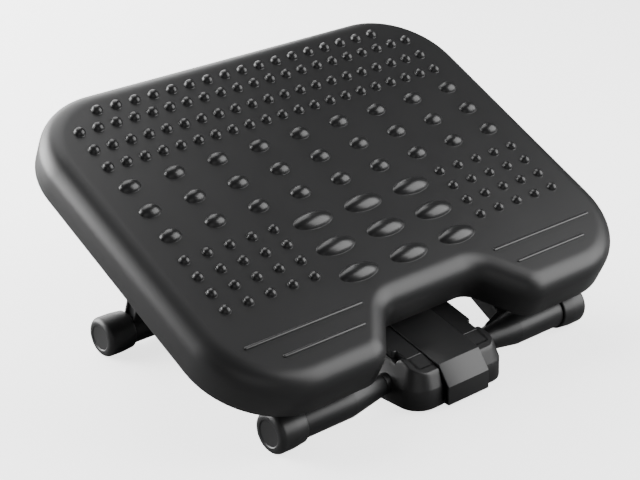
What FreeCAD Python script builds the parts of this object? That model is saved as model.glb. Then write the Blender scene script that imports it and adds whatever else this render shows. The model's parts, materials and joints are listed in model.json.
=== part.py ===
import FreeCAD, Part
import Sketcher
import math
import os
import re

V = FreeCAD.Vector

doc = FreeCAD.newDocument("tilting_footrest")
sheet = doc.addObject("Spreadsheet::Sheet", "Sizes")

# Driving dimensions, in millimetres and degrees.
# x runs across the footrest, y runs from the user towards the rear, z is up from the floor.
SIZES = {
    "platform_width": 450.0,
    "platform_depth": 350.0,
    "corner_round": 75.0,
    "edge_height": 38.0,
    "edge_round": 18.0,
    "platform_wall": 3.0,
    "notch_depth": 44.0,
    "notch_back_half": 50.0,
    "notch_mouth_half": 85.0,
    "notch_back_round": 23.0,
    "notch_mouth_round": 27.0,
    "rib_thickness": 2.6,
    "rib_depth": 17.0,
    "rib_pitch_x": 68.0,
    "rib_pitch_y": 87.0,
    "tilt_angle": 27.2,
    "axle_y": 19.2,
    "axle_z": 99.7,
    "axle_drop": 61.4,
    "axle_radius": 6.0,
    "axle_half_length": 151.0,
    "running_gap": 0.05,
    "body_gap": 0.3,
    "front_bar_y": -119.3,
    "rear_bar_y": 115.2,
    "bar_height": 18.0,
    "core_radius": 6.0,
    "core_wall": 1.5,
    "core_half_length": 160.0,
    "front_tube_radius": 15.0,
    "rear_tube_radius": 14.5,
    "cone_inner_x": 57.3,
    "cone_outer_x": 96.0,
    "cone_inner_radius": 9.0,
    "core_beyond_sleeve": 12.3,
    "spigot_radius": 12.0,
    "spigot_length": 16.0,
    "cap_beyond_core": 16.0,
    "cap_length": 28.0,
    "cap_radius": 18.2,
    "cap_neck_radius": 17.0,
    "cap_flare_length": 12.0,
    "cap_edge_round": 5.0,
    "cap_dish_radius": 11.0,
    "cap_dish_depth": 0.8,
    "arm_thickness": 16.0,
    "arm_boss_radius": 14.0,
    "front_arm_inner_x": 90.0,
    "front_arm_outer_x": 116.0,
    "gusset_inner_x": 69.0,
    "gusset_length": 16.5,
    "rear_arm_inner_x": 121.0,
    "rear_arm_outer_x": 147.0,
    "rear_sleeve_inner_x": 100.0,
    "rear_elbow_forward": 14.0,
    "rear_elbow_rise": 36.0,
    "yoke_tube_radius": 12.5,
    "yoke_arm_half_width": 9.0,
    "yoke_arm_thickness": 18.0,
    "yoke_boss_half_width": 14.5,
    "yoke_boss_radius": 15.0,
    "bracket_inner_x": 60.0,
    "bracket_outer_x": 76.0,
    "bracket_flange_x": 12.0,
    "bracket_flange_half_depth": 34.0,
    "bracket_flange_thickness": 5.0,
    "bush_wall": 2.0,
    "bush_flange_radius": 12.0,
    "bush_flange_thickness": 1.5,
    "screw_radius": 2.0,
    "screw_head_radius": 3.8,
    "screw_head_height": 2.4,
    "screw_boss_radius": 5.0,
    "screw_length": 14.0,
    "bracket_screw_x": 25.0,
    "bracket_screw_y": 27.0,
    "pod_half_width": 46.0,
    "pod_front": 152.4,
    "pod_front_round": 20.0,
    "pod_taper": 20.0,
    "pod_flare": 7.5,
    "pod_crease_z": 19.5,
    "pod_bottom_z": 3.0,
    "pod_floor": 3.0,
    "pod_wall": 3.0,
    "pod_rear": 84.0,
    "pod_boss_x": 57.0,
    "pod_boss_radius": 10.0,
    "pod_room_front": 104.0,
    "cheek_drop": 1.2,
    "cover_front": 133.0,
    "cover_notch_length": 12.0,
    "cover_notch_depth": 8.0,
    "cover_thickness": 6.0,
    "cover_post_gap": 3.0,
    "cover_post_y": 93.0,
    "cover_post_radius": 4.0,
    "pod_top_z": 37.0,
    "pod_top_slope": 15.0,
    "pedal_half_width": 23.4,
    "pedal_slot_gap": 1.2,
    "pedal_nose_reach": 45.0,
    "pedal_bottom_z": 3.6,
    "pedal_crease_z": 20.0,
    "pedal_thickness": 3.6,
    "pedal_rear_reach": 30.0,
    "pedal_boss_radius": 10.2,
    "pedal_rib_x": 16.2,
    "pedal_rib_thickness": 3.0,
    "plate_inner_x": 26.0,
    "plate_thickness": 4.0,
    "plate_width": 21.0,
    "spacer_radius": 5.0,
    "spacer_y": -14.0,
    "rivet_radius": 2.0,
    "rivet_head_radius": 4.0,
    "rivet_head_height": 1.8,
    "axle_cap_radius": 9.5,
    "axle_cap_length": 5.4,
    "axle_spacer_radius": 9.0,
    "leg_washer_radius": 12.0,
    "disc_radius": 20.0,
    "disc_spring_radius": 12.0,
    "disc_thickness": 2.2,
    "lever_pin_y": 5.0,
    "lever_pin_z": 72.0,
    "lever_width": 11.0,
    "lever_thickness": 2.6,
    "lever_boss_radius": 13.0,
    "rod_thickness": 3.0,
    "rod_width": 8.0,
    "rod_pin_radius": 2.5,
    "rod_pin_reach": 24.0,
    "rod_pin_rise": 18.0,
    "rod_free_gap": 0.6,
    "lug_radius": 5.0,
    "spring_radius": 6.0,
    "spring_wire": 0.9,
    "spring_turns": 6.0,
    "spring_y": 138.0,
    "dome_radius": 5.3,
    "dome_height": 4.6,
    "side_dome_radius": 4.9,
    "side_dome_height": 4.2,
    "oval_length": 20.0,
    "oval_width": 14.0,
    "oval_height": 5.2,
    "large_oval_length": 40.0,
    "large_oval_width": 18.0,
    "large_oval_height": 6.0,
    "bump_root": 0.6,
    "line_width": 3.2,
    "line_height": 1.4,
    "back_line_y": 123.0,
    "back_line_inner_x": 76.0,
    "back_line_outer_x": 193.0,
    "front_line_y": 142.0,
    "front_line_inner_x": 88.0,
    "front_line_outer_x": 169.0,
}

for row, (alias, number) in enumerate(SIZES.items(), start=1):
    sheet.set("A%d" % row, alias)
    sheet.set("B%d" % row, str(number))
    sheet.setAlias("B%d" % row, alias)
doc.recompute()


def size(alias):
    return float(getattr(sheet, alias))


def bound(words):
    """Turn bare size names in an expression into references to the sheet."""
    return re.sub(r"[a-z_]+", lambda m: "Sizes." + m.group() if m.group() in SIZES else m.group(), str(words))


def value(words):
    return float(sheet.evalExpression(bound(words)))


parts = []


def sub_part(obj, label, placement=None):
    """Name a finished piece and put it in its place."""
    obj.Label = label
    if placement is not None:
        obj.Placement = placement
    parts.append(obj)
    return obj


def bind(obj, prop, words):
    obj.setExpression(prop, bound(words))


# Basic shapes, all lengths bound to the sheet.
ALONG_X = FreeCAD.Rotation(V(0, 1, 0), 90)


def place_at(obj, x, y, z, rotation=None):
    obj.Placement = FreeCAD.Placement(V(0, 0, 0), rotation or FreeCAD.Rotation())
    bind(obj, "Placement.Base.x", x)
    bind(obj, "Placement.Base.y", y)
    bind(obj, "Placement.Base.z", z)


def block(name, x, y, z):
    obj = doc.addObject("Part::Box", name)
    bind(obj, "Length", "(%s) - (%s)" % (x[1], x[0]))
    bind(obj, "Width", "(%s) - (%s)" % (y[1], y[0]))
    bind(obj, "Height", "(%s) - (%s)" % (z[1], z[0]))
    place_at(obj, x[0], y[0], z[0])
    return obj


def rod(name, radius, x, y, z):
    """A cylinder along x."""
    obj = doc.addObject("Part::Cylinder", name)
    bind(obj, "Radius", radius)
    bind(obj, "Height", "(%s) - (%s)" % (x[1], x[0]))
    place_at(obj, x[0], y, z, ALONG_X)
    return obj


def taper(name, radii, x, y, z):
    """A cone frustum along x."""
    obj = doc.addObject("Part::Cone", name)
    bind(obj, "Radius1", radii[0])
    bind(obj, "Radius2", radii[1])
    bind(obj, "Height", "(%s) - (%s)" % (x[1], x[0]))
    place_at(obj, x[0], y, z, ALONG_X)
    return obj


def post(name, radius, x, y, z):
    """A cylinder along z."""
    obj = doc.addObject("Part::Cylinder", name)
    bind(obj, "Radius", radius)
    bind(obj, "Height", "(%s) - (%s)" % (z[1], z[0]))
    place_at(obj, x, y, z[0])
    return obj


def fuse(name, shapes):
    obj = doc.addObject("Part::MultiFuse", name)
    obj.Shapes = shapes
    obj.Refine = True
    return obj


def cut(name, base, tools):
    obj = doc.addObject("Part::Cut", name)
    obj.Base = base
    obj.Tool = tools[0] if len(tools) == 1 else fuse(name + "_tools", tools)
    obj.Refine = True
    return obj


def common(name, base, tool):
    obj = doc.addObject("Part::Common", name)
    obj.Base = base
    obj.Tool = tool
    return obj


def round_edges(name, base, radius, chosen):
    """Round the edges of base that the test chosen picks."""
    doc.recompute()
    obj = doc.addObject("Part::Fillet", name)
    obj.Base = base
    picked = [i + 1 for i, edge in enumerate(base.Shape.Edges) if chosen(edge)]
    obj.Edges = [(i, value(radius), value(radius)) for i in picked]
    return obj


def link(name, start, end, width, x):
    """A flat bar between two (y, z) points, as wide as width, with round ends."""
    y0, z0 = value(start[0]), value(start[1])
    y1, z1 = value(end[0]), value(end[1])
    angle = math.degrees(math.atan2(z1 - z0, y1 - y0))
    bar = doc.addObject("Part::Box", name + "_bar")
    bind(bar, "Length", "(%s) - (%s)" % (x[1], x[0]))
    bar.Width = math.hypot(y1 - y0, z1 - z0)
    bind(bar, "Height", width)
    half = value(width) / 2
    turn = FreeCAD.Rotation(V(1, 0, 0), angle)
    corner = V(value(x[0]), y0, z0) + turn.multVec(V(0, 0, -half))
    bar.Placement = FreeCAD.Placement(corner, turn)
    ends = [rod(name + "_end%d" % i, "(%s) / 2" % width, x, p[0], p[1]) for i, p in enumerate((start, end))]
    return [bar] + ends


# Sketched outlines with rounded corners.
PLANES = {"XY": "XY_Plane", "YZ": "YZ_Plane"}
pending = {}


def unit(a, b):
    length = math.hypot(b[0] - a[0], b[1] - a[1])
    return (b[0] - a[0]) / length, (b[1] - a[1]) / length


def outline(body, name, plane, corners):
    """A closed outline on one of the body's planes: straight sides through the corners, each corner
    given as two coordinates and a radius, all bound to the sheet."""
    sketch = body.newObject("Sketcher::SketchObject", name)
    origin = [f for f in body.Origin.OriginFeatures if f.Role == PLANES[plane]][0]
    sketch.AttachmentSupport = [(origin, "")]
    sketch.MapMode = "FlatFace"
    points = [(value(c[0]), value(c[1])) for c in corners]
    count = len(points)
    entry, leave, middle = [], [], []
    for i, (x, y, radius) in enumerate(corners):
        here = points[i]
        back = unit(here, points[i - 1])
        ahead = unit(here, points[(i + 1) % count])
        r = value(radius)
        half = math.acos(max(-1.0, min(1.0, back[0] * ahead[0] + back[1] * ahead[1]))) / 2
        reach = r / math.tan(half)
        entry.append((here[0] + back[0] * reach, here[1] + back[1] * reach))
        leave.append((here[0] + ahead[0] * reach, here[1] + ahead[1] * reach))
        bisector = unit((0, 0), (back[0] + ahead[0], back[1] + ahead[1]))
        centre = r / math.sin(half)
        middle.append((here[0] + bisector[0] * centre, here[1] + bisector[1] * centre))
    lines = []
    for i in range(count):
        a, b = leave[i], entry[(i + 1) % count]
        lines.append(sketch.addGeometry(Part.LineSegment(V(a[0], a[1], 0), V(b[0], b[1], 0)), False))
    for i, (x, y, radius) in enumerate(corners):
        here = points[i]
        corner = sketch.addGeometry(Part.Point(V(here[0], here[1], 0)), True)
        sketch.addConstraint(bounded(sketch, "DistanceX", (-1, 1, corner, 1), here[0], x))
        sketch.addConstraint(bounded(sketch, "DistanceY", (-1, 1, corner, 1), here[1], y))
        before, after = lines[i - 1], lines[i]
        r = value(radius)
        if r < 0.01:
            sketch.addConstraint(Sketcher.Constraint("Coincident", before, 2, after, 1))
            sketch.addConstraint(Sketcher.Constraint("Coincident", after, 1, corner, 1))
            continue
        start = math.atan2(entry[i][1] - middle[i][1], entry[i][0] - middle[i][0])
        stop = math.atan2(leave[i][1] - middle[i][1], leave[i][0] - middle[i][0])
        turn = (points[i][0] - points[i - 1][0]) * (points[(i + 1) % count][1] - points[i][1])
        turn -= (points[i][1] - points[i - 1][1]) * (points[(i + 1) % count][0] - points[i][0])
        circle = Part.Circle(V(middle[i][0], middle[i][1], 0), V(0, 0, 1), r)
        first, last = (start, stop) if turn > 0 else (stop, start)
        arc = sketch.addGeometry(Part.ArcOfCircle(circle, first, last), False)
        near, far = (1, 2) if turn > 0 else (2, 1)
        sketch.addConstraint(Sketcher.Constraint("Tangent", before, 2, arc, near))
        sketch.addConstraint(Sketcher.Constraint("Tangent", arc, far, after, 1))
        sketch.addConstraint(bounded(sketch, "Radius", (arc,), r, radius))
        sketch.addConstraint(Sketcher.Constraint("PointOnObject", corner, 1, before))
        sketch.addConstraint(Sketcher.Constraint("PointOnObject", corner, 1, after))
    for index, words in pending.pop(sketch.Name, []):
        sketch.setExpression("Constraints[%d]" % index, bound(words))
    return sketch


def bounded(sketch, kind, where, number, words):
    """A dimension constraint whose number follows the sheet."""
    pending.setdefault(sketch.Name, []).append((len(sketch.Constraints), words))
    return Sketcher.Constraint(kind, *where, number)


def prism(name, plane, corners, span, draft=None):
    """An outline carried along the axis square to its plane, from span[0] to span[1]."""
    body = doc.addObject("PartDesign::Body", name)
    sketch = outline(body, name + "_outline", plane, corners)
    bind(sketch, "AttachmentOffset.Base.z", span[0])
    pad = body.newObject("PartDesign::Pad", name + "_pad")
    pad.Profile = sketch
    bind(pad, "Length", "(%s) - (%s)" % (span[1], span[0]))
    if draft is not None:
        bind(pad, "TaperAngle", draft)
    body.Tip = pad
    return body


def both_sides(maker):
    """Make the left piece and the right piece of a mirrored pair."""
    for side, sign in (("left", -1), ("right", 1)):
        maker(side, sign)


def span_x(sign, inner, outer):
    """The x range of a piece between two distances from the middle, on one side."""
    if sign > 0:
        return (inner, outer)
    return ("-(%s)" % outer, "-(%s)" % inner)


FRONT_BAR = ("front_bar_y", "bar_height")
REAR_BAR = ("rear_bar_y", "bar_height")
AXLE = ("axle_y", "axle_z")
ON_PLATFORM = FreeCAD.Placement(
    V(0, size("axle_y"), size("axle_z")), FreeCAD.Rotation(V(1, 0, 0), size("tilt_angle"))
)


# Platform. It is drawn level with the axle at its origin and then tilted about the axle.
def platform_outline(inset="0"):
    """The plate seen from above, or the same outline moved inwards by inset."""
    half_x = "(platform_width / 2 - %s)" % inset
    front = "-platform_depth / 2 + %s" % inset
    back = "platform_depth / 2 - %s" % inset
    notch = "-platform_depth / 2 + notch_depth + %s" % inset
    aside = "%s * tan(atan(notch_depth / (notch_mouth_half - notch_back_half)) / 2)" % inset
    mouth = "(notch_mouth_half + %s)" % aside
    inner = "(notch_back_half + %s)" % aside
    corner = "corner_round - %s" % inset
    mouth_round = "notch_mouth_round - %s" % inset
    inner_round = "notch_back_round + %s" % inset
    return [
        ("-%s" % half_x, front, corner),
        ("-%s" % mouth, front, mouth_round),
        ("-%s" % inner, notch, inner_round),
        (inner, notch, inner_round),
        (mouth, front, mouth_round),
        (half_x, front, corner),
        (half_x, back, corner),
        ("-%s" % half_x, back, corner),
    ]


def dome(length, width, height):
    """A cap of a ball, stretched along x, with its flat side a little under z = 0 to join the plate."""
    ball = ((width / 2) ** 2 + height ** 2) / (2 * height)
    low = math.degrees(math.asin((ball - height - size("bump_root")) / ball))
    cap = Part.makeSphere(ball, V(0, 0, height - ball), V(0, 0, 1), low, 90, 360)
    if length == width:
        return cap
    stretch = FreeCAD.Matrix()
    stretch.scale(length / width, 1, 1)
    return cap.transformGeometry(stretch)


def row_of(count, pitch):
    return [(i - (count - 1) / 2) * pitch for i in range(count)]


def bump_places():
    """Every raised bump of the top: its kind and its place on the plate."""
    places = [("dome", x, 146.9) for x in row_of(17, 19.4)]
    for y in (128.5, 106.2, 84.7):
        places += [("dome", x, y) for x in row_of(21, 18.4)]
    for y in (58.9, 29.0, -0.9):
        places += [("oval", x, y) for x in row_of(9, 44.9)]
    for y in (-27.7, -46.6, -65.5, -84.3):
        for middle in (-139.4, 139.4):
            places += [("side_dome", middle + x, y) for x in row_of(5, 22.6)]
    for y in (-32.3, -63.7, -95.2):
        places += [("large_oval", x, y) for x in row_of(3, 55.6)]
    return places


def platform_shell():
    top = "axle_drop"
    blank = prism("platform_blank", "XY", platform_outline(), ("axle_drop - edge_height", top))
    level = size("axle_drop")
    rounded = round_edges(
        "platform_rounded", blank, "edge_round", lambda e: all(abs(v.Z - level) < 1e-6 for v in e.Vertexes)
    )
    doc.recompute()
    hollow = doc.addObject("Part::Thickness", "platform_hollow")
    low = size("axle_drop") - size("edge_height")
    faces = ["Face%d" % (i + 1) for i, f in enumerate(rounded.Shape.Faces) if f.BoundBox.ZMax < low + 1e-6]
    hollow.Faces = (rounded, faces)
    bind(hollow, "Value", "-platform_wall")
    hollow.Join = 0
    deep = ("axle_drop - platform_wall - rib_depth", "axle_drop - platform_wall / 2")
    posts = [post("screw_boss%d" % i, "screw_boss_radius", x, y, deep)
             for i, (x, y) in enumerate(bracket_screw_places())]
    bumps = doc.addObject("Part::Feature", "platform_bumps")
    shapes = {kind: dome(*dims) for kind, dims in {
        "dome": (2 * size("dome_radius"), 2 * size("dome_radius"), size("dome_height")),
        "side_dome": (2 * size("side_dome_radius"), 2 * size("side_dome_radius"), size("side_dome_height")),
        "oval": (size("oval_length"), size("oval_width"), size("oval_height")),
        "large_oval": (size("large_oval_length"), size("large_oval_width"), size("large_oval_height")),
    }.items()}
    solids = []
    for kind, x, y in bump_places():
        solid = shapes[kind].copy()
        solid.translate(V(x, y, level))
        solids.append(solid)
    bumps.Shape = Part.makeCompound(solids)
    holes = [
        post("screw_pilot%d" % i, "screw_radius + running_gap", x, y, (deep[0] + " - 1", deep[0] + " + screw_length"))
        for i, (x, y) in enumerate(bracket_screw_places())
    ]
    solid = cut("platform_solid", fuse("platform_joined", [hollow, bumps] + posts + raised_lines()), holes)
    sub_part(solid, "platform_shell", ON_PLATFORM)


def platform_ribs():
    """The grid of ribs under the plate, which ends a little inside its rolled edge."""
    under = "axle_drop - platform_wall"
    room = prism("rib_blank", "XY", platform_outline("(platform_wall + 1)"), ("axle_drop - edge_height", under))
    level = value(under)
    room = round_edges("rib_room", room, "edge_round", lambda e: all(abs(v.Z - level) < 1e-6 for v in e.Vertexes))
    deep = ("%s - rib_depth" % under, under)
    walls = []
    for i in range(-2, 3):
        x = "%d * rib_pitch_x" % i
        walls.append(block(
            "rib_x%d" % (i + 2), ("%s - rib_thickness / 2" % x, "%s + rib_thickness / 2" % x),
            ("-platform_depth / 2", "platform_depth / 2"), deep))
    for i in range(-1, 2):
        y = "%d * rib_pitch_y" % i
        walls.append(block(
            "rib_y%d" % (i + 1), ("-platform_width / 2", "platform_width / 2"),
            ("%s - rib_thickness / 2" % y, "%s + rib_thickness / 2" % y), deep))
    sub_part(common("rib_grid_cut", room, fuse("rib_grid", walls)), "platform_ribs", ON_PLATFORM)


def bracket_screw_places():
    middle = "(bracket_inner_x + bracket_outer_x) / 2"
    return [
        ("%d * (%s + %d * bracket_screw_x / 2)" % (side, middle, across), "%d * bracket_screw_y" % along)
        for side in (-1, 1) for across in (-1, 1) for along in (-1, 1)
    ]


def raised_lines():
    """The four thin raised lines by the front edge, round on top."""
    lines = []
    for side, sign in (("left", -1), ("right", 1)):
        for name, inner, outer, y in (
            ("back", "back_line_inner_x", "back_line_outer_x", "back_line_y"),
            ("front", "front_line_inner_x", "front_line_outer_x", "front_line_y"),
        ):
            x = span_x(sign, inner, outer)
            z = "axle_drop + line_height - line_width / 2"
            label = "line_%s_%s" % (name, side)
            lines.append(rod(label, "line_width / 2", x, "-(%s)" % y, z))
            for i, end in enumerate(x):
                ball = doc.addObject("Part::Sphere", "%s_ball%d" % (label, i))
                bind(ball, "Radius", "line_width / 2")
                place_at(ball, end, "-(%s)" % y, z)
                lines.append(ball)
    return lines


def axle_bracket(side, sign):
    """A bracket screwed under the platform that hangs on the axle."""
    x = span_x(sign, "bracket_inner_x", "bracket_outer_x")
    wide = span_x(sign, "bracket_inner_x - bracket_flange_x", "bracket_outer_x + bracket_flange_x")
    top = "axle_drop - platform_wall - rib_depth"
    name = "bracket_%s" % side
    flange = block(
        name + "_flange", wide, ("-bracket_flange_half_depth", "bracket_flange_half_depth"),
        ("%s - bracket_flange_thickness" % top, top))
    web = prism(name + "_web", "YZ", [
        ("-bracket_flange_half_depth + 6", "%s - 1" % top, "0"),
        ("-arm_boss_radius", "0", "0"),
        ("arm_boss_radius", "0", "0"),
        ("bracket_flange_half_depth - 6", "%s - 1" % top, "0"),
    ], x)
    boss = rod(name + "_boss", "arm_boss_radius", x, "0", "0")
    holes = [rod(name + "_bore", "axle_radius + running_gap + bush_wall", x, "0", "0")]
    for i, (sx, sy) in enumerate(bracket_screw_places()):
        if (i < 4) == (sign < 0):
            holes.append(post("%s_hole%d" % (name, i), "screw_radius + body_gap", sx, sy,
                              ("%s - bracket_flange_thickness - 1" % top, "%s + 1" % top)))
    solid = cut(name, fuse(name + "_blank", [flange, web, boss]), holes)
    sub_part(solid, "axle_bracket_%s" % side, ON_PLATFORM)


def axle_bush(side, sign):
    """A flanged nylon bush between the bracket and the axle."""
    name = "bush_%s" % side
    x = span_x(sign, "bracket_inner_x", "bracket_outer_x")
    rim = span_x(sign, "bracket_outer_x", "bracket_outer_x + bush_flange_thickness")
    sleeve = rod(name + "_sleeve", "axle_radius + bush_wall",
                 span_x(sign, "bracket_inner_x", "bracket_outer_x + 1"), "0", "0")
    flange = rod(name + "_flange", "bush_flange_radius", rim, "0", "0")
    bore = rod(name + "_bore", "axle_radius + running_gap",
               span_x(sign, "bracket_inner_x - 1", "bracket_outer_x + 5"), "0", "0")
    solid = cut(name, fuse(name + "_blank", [sleeve, flange]), [bore])
    sub_part(solid, "axle_bush_%s" % side, ON_PLATFORM)


def screw(name, x, y, head_z, up):
    """A pan head screw along z: the head's flat side at head_z, the shank going up or down."""
    sign = "+" if up else "-"
    below = "-" if up else "+"
    ends = (head_z, "%s %s screw_length" % (head_z, sign))
    shank = post(name + "_shank", "screw_radius", x, y, ends if up else ends[::-1])
    ends = ("%s %s screw_head_height" % (head_z, below), head_z)
    head = post(name + "_head", "screw_head_radius", x, y, ends if up else ends[::-1])
    return fuse(name, [shank, head])


def bracket_screws():
    under = "axle_drop - platform_wall - rib_depth - bracket_flange_thickness"
    screws = [screw("bracket_screw%d" % i, x, y, under, True) for i, (x, y) in enumerate(bracket_screw_places())]
    solid = doc.addObject("Part::Compound", "bracket_screws")
    solid.Links = screws
    sub_part(solid, "bracket_screws", ON_PLATFORM)


# Legs
def tube_bore(name, x, place):
    return rod(name, "core_radius + running_gap", x, *place)


def axle_bore(name, x):
    return rod(name, "axle_radius + running_gap", x, *AXLE)


# Ends of the crossbars
SLEEVE_END = "(core_half_length - core_beyond_sleeve)"
CAP_FACE = "(core_half_length + cap_beyond_core)"


def front_leg(side, sign):
    """Sleeve, cone, arm and gusset of one side of the front leg, in one moulding."""
    name = "front_leg_%s" % side
    place = FRONT_BAR
    sleeve = rod(name + "_sleeve", "front_tube_radius", span_x(sign, "cone_outer_x", SLEEVE_END), *place)
    radii = ("cone_inner_radius", "front_tube_radius")
    if sign < 0:
        radii = radii[::-1]
    cone = taper(name + "_cone", radii, span_x(sign, "cone_inner_x", "cone_outer_x"), *place)
    spigot = rod(name + "_spigot", "spigot_radius",
                 span_x(sign, SLEEVE_END + " - 1", SLEEVE_END + " + spigot_length"), *place)
    arm_x = span_x(sign, "front_arm_inner_x", "front_arm_outer_x")
    arm = link(name + "_arm", place, AXLE, "arm_thickness", arm_x)
    boss = rod(name + "_boss", "arm_boss_radius", arm_x, *AXLE)
    web = gusset(name, sign)
    bores = [tube_bore(name + "_core_bore", span_x(sign, "cone_inner_x - 1", "core_half_length + 10"), place)]
    bores.append(axle_bore(name + "_axle_bore", span_x(sign, "front_arm_inner_x - 1", "front_arm_outer_x + 1")))
    solid = cut(name, fuse(name + "_blank", [sleeve, cone, spigot] + arm + [boss, web]), bores)
    sub_part(solid, name)


def gusset(name, sign):
    """A web in the plane of the arm that fills the corner between arm and cone."""
    rise = value("axle_z - bar_height")
    run = value("axle_y - front_bar_y")
    corners = [
        ("%d * gusset_inner_x" % sign, "0", "0"),
        ("%d * (front_arm_inner_x + 1)" % sign, "0", "0"),
        ("%d * (front_arm_inner_x + 1)" % sign, "gusset_length", "0"),
        ("%d * front_arm_inner_x" % sign, "gusset_length", "0"),
        ("%d * gusset_inner_x" % sign, "gusset_length * 0.6", "0"),
    ]
    web = prism(name + "_gusset", "XY", corners, ("-arm_thickness / 2", "arm_thickness / 2"))
    slope = math.degrees(math.atan2(rise, run))
    web.Placement = FreeCAD.Placement(
        V(0, size("front_bar_y"), size("bar_height")), FreeCAD.Rotation(V(1, 0, 0), slope))
    return web


def elbow():
    return ("rear_bar_y - rear_elbow_forward", "bar_height + rear_elbow_rise")


def rear_leg(side, sign):
    """Sleeve and bent arm of one side of the rear leg, in one moulding."""
    name = "rear_leg_%s" % side
    place = REAR_BAR
    sleeve = rod(name + "_sleeve", "rear_tube_radius", span_x(sign, "rear_sleeve_inner_x", SLEEVE_END), *place)
    spigot = rod(name + "_spigot", "spigot_radius",
                 span_x(sign, SLEEVE_END + " - 1", SLEEVE_END + " + spigot_length"), *place)
    arm_x = span_x(sign, "rear_arm_inner_x", "rear_arm_outer_x")
    lower = link(name + "_lower", place, elbow(), "arm_thickness", arm_x)
    upper = link(name + "_upper", elbow(), AXLE, "arm_thickness", arm_x)
    boss = rod(name + "_boss", "arm_boss_radius", arm_x, *AXLE)
    bores = [tube_bore(name + "_core_bore", span_x(sign, "rear_sleeve_inner_x - 1", "core_half_length + 10"), place)]
    bores.append(axle_bore(name + "_axle_bore", span_x(sign, "rear_arm_inner_x - 1", "rear_arm_outer_x + 1")))
    solid = cut(name, fuse(name + "_blank", [sleeve, spigot] + lower + upper + [boss]), bores)
    sub_part(solid, name)


def rear_yoke():
    """The middle sleeve of the rear bar and the arm that carries the brake's boss."""
    half = "rear_sleeve_inner_x - body_gap"
    sleeve = rod("yoke_sleeve", "yoke_tube_radius", ("-(%s)" % half, half), *REAR_BAR)
    arm = link("yoke_arm", REAR_BAR, AXLE, "yoke_arm_thickness", ("-yoke_arm_half_width", "yoke_arm_half_width"))
    boss = rod("yoke_boss", "yoke_boss_radius", ("-yoke_boss_half_width", "yoke_boss_half_width"), *AXLE)
    foot = rod("yoke_foot", "rear_tube_radius", ("-yoke_boss_half_width", "yoke_boss_half_width"), *REAR_BAR)
    bores = [tube_bore("yoke_core_bore", ("-rear_sleeve_inner_x", "rear_sleeve_inner_x"), REAR_BAR)]
    bores.append(axle_bore("yoke_axle_bore", ("-yoke_boss_half_width - 1", "yoke_boss_half_width + 1")))
    solid = cut("yoke", fuse("yoke_blank", [sleeve, foot] + arm + [boss]), bores)
    sub_part(solid, "rear_yoke")


def bar_core(label, place):
    """A steel tube inside a crossbar, from cap to cap."""
    tube = rod(label + "_tube", "core_radius", ("-core_half_length", "core_half_length"), *place)
    bore = rod(label + "_bore", "core_radius - core_wall", ("-core_half_length - 1", "core_half_length + 1"), *place)
    sub_part(cut(label, tube, [bore]), label)


def foot_cap(label, sign, place):
    """A rubber cap over the end of a crossbar, with a small moulded flat where it stands."""
    inner = CAP_FACE + " - cap_length"
    wide = CAP_FACE + " - cap_length + cap_flare_length"
    radii = ("cap_neck_radius", "cap_radius")
    if sign < 0:
        radii = radii[::-1]
    neck = taper(label + "_neck", radii, span_x(sign, inner, wide), *place)
    barrel = rod(label + "_barrel", "cap_radius", span_x(sign, wide, CAP_FACE), *place)
    face = sign * value(CAP_FACE)
    blank = fuse(label + "_blank", [neck, barrel])
    rounded = round_edges(label + "_rounded", blank, "cap_edge_round",
                          lambda e: abs(e.BoundBox.XMin - face) < 0.01 and abs(e.BoundBox.XMax - face) < 0.01)
    tools = [
        rod(label + "_socket", "spigot_radius + running_gap",
            span_x(sign, inner + " - 1", SLEEVE_END + " + spigot_length + body_gap"), *place),
        rod(label + "_dish", "cap_dish_radius", span_x(sign, CAP_FACE + " - cap_dish_depth", CAP_FACE + " + 1"), *place),
        block(label + "_floor", span_x(sign, inner, CAP_FACE + " + 1"),
              ("%s - cap_radius" % place[0], "%s + cap_radius" % place[0]), ("-5", "0")),
    ]
    sub_part(cut(label, rounded, tools), label)


# Pod, pedal and brake
ROD_PIN = ("front_bar_y + rod_pin_reach", "bar_height + rod_pin_rise")
LEVER_PIN = ("lever_pin_y", "lever_pin_z")
ROD_X = ("-pedal_rib_x - pedal_rib_thickness - body_gap - rod_thickness",
         "-pedal_rib_x - pedal_rib_thickness - body_gap")
LEVER_X = ("%s - body_gap - lever_thickness" % ROD_X[0], "%s - body_gap" % ROD_X[0])
FIBRE_DISC = ("yoke_boss_half_width", "(yoke_boss_half_width + disc_thickness)")
STEEL_DISC = ("(yoke_boss_half_width + disc_thickness + body_gap)",
              "(yoke_boss_half_width + 2 * disc_thickness + body_gap)")
SPACER = ("spacer_y", "bar_height + (axle_z - bar_height) * (spacer_y - front_bar_y) / (axle_y - front_bar_y)")
POST_X = "(pod_half_width - pod_wall - cover_post_radius - cover_post_gap)"
COVER_POSTS = [("-" + POST_X, "-cover_post_y"), (POST_X, "-cover_post_y")]


def pod_top(y, under="0"):
    """Height of the pod's sloping top at a distance y ahead of the origin, less under."""
    return "pod_top_z + (pod_front - (%s)) * tan(pod_top_slope) - (%s)" % (y, under)


def plate_space(name, sign):
    """Room for one spine plate in the mouldings around it."""
    x = span_x(sign, "plate_inner_x - body_gap", "plate_inner_x + plate_thickness + body_gap")
    return link(name, FRONT_BAR, AXLE, "plate_width + 2 * body_gap", x)


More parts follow.
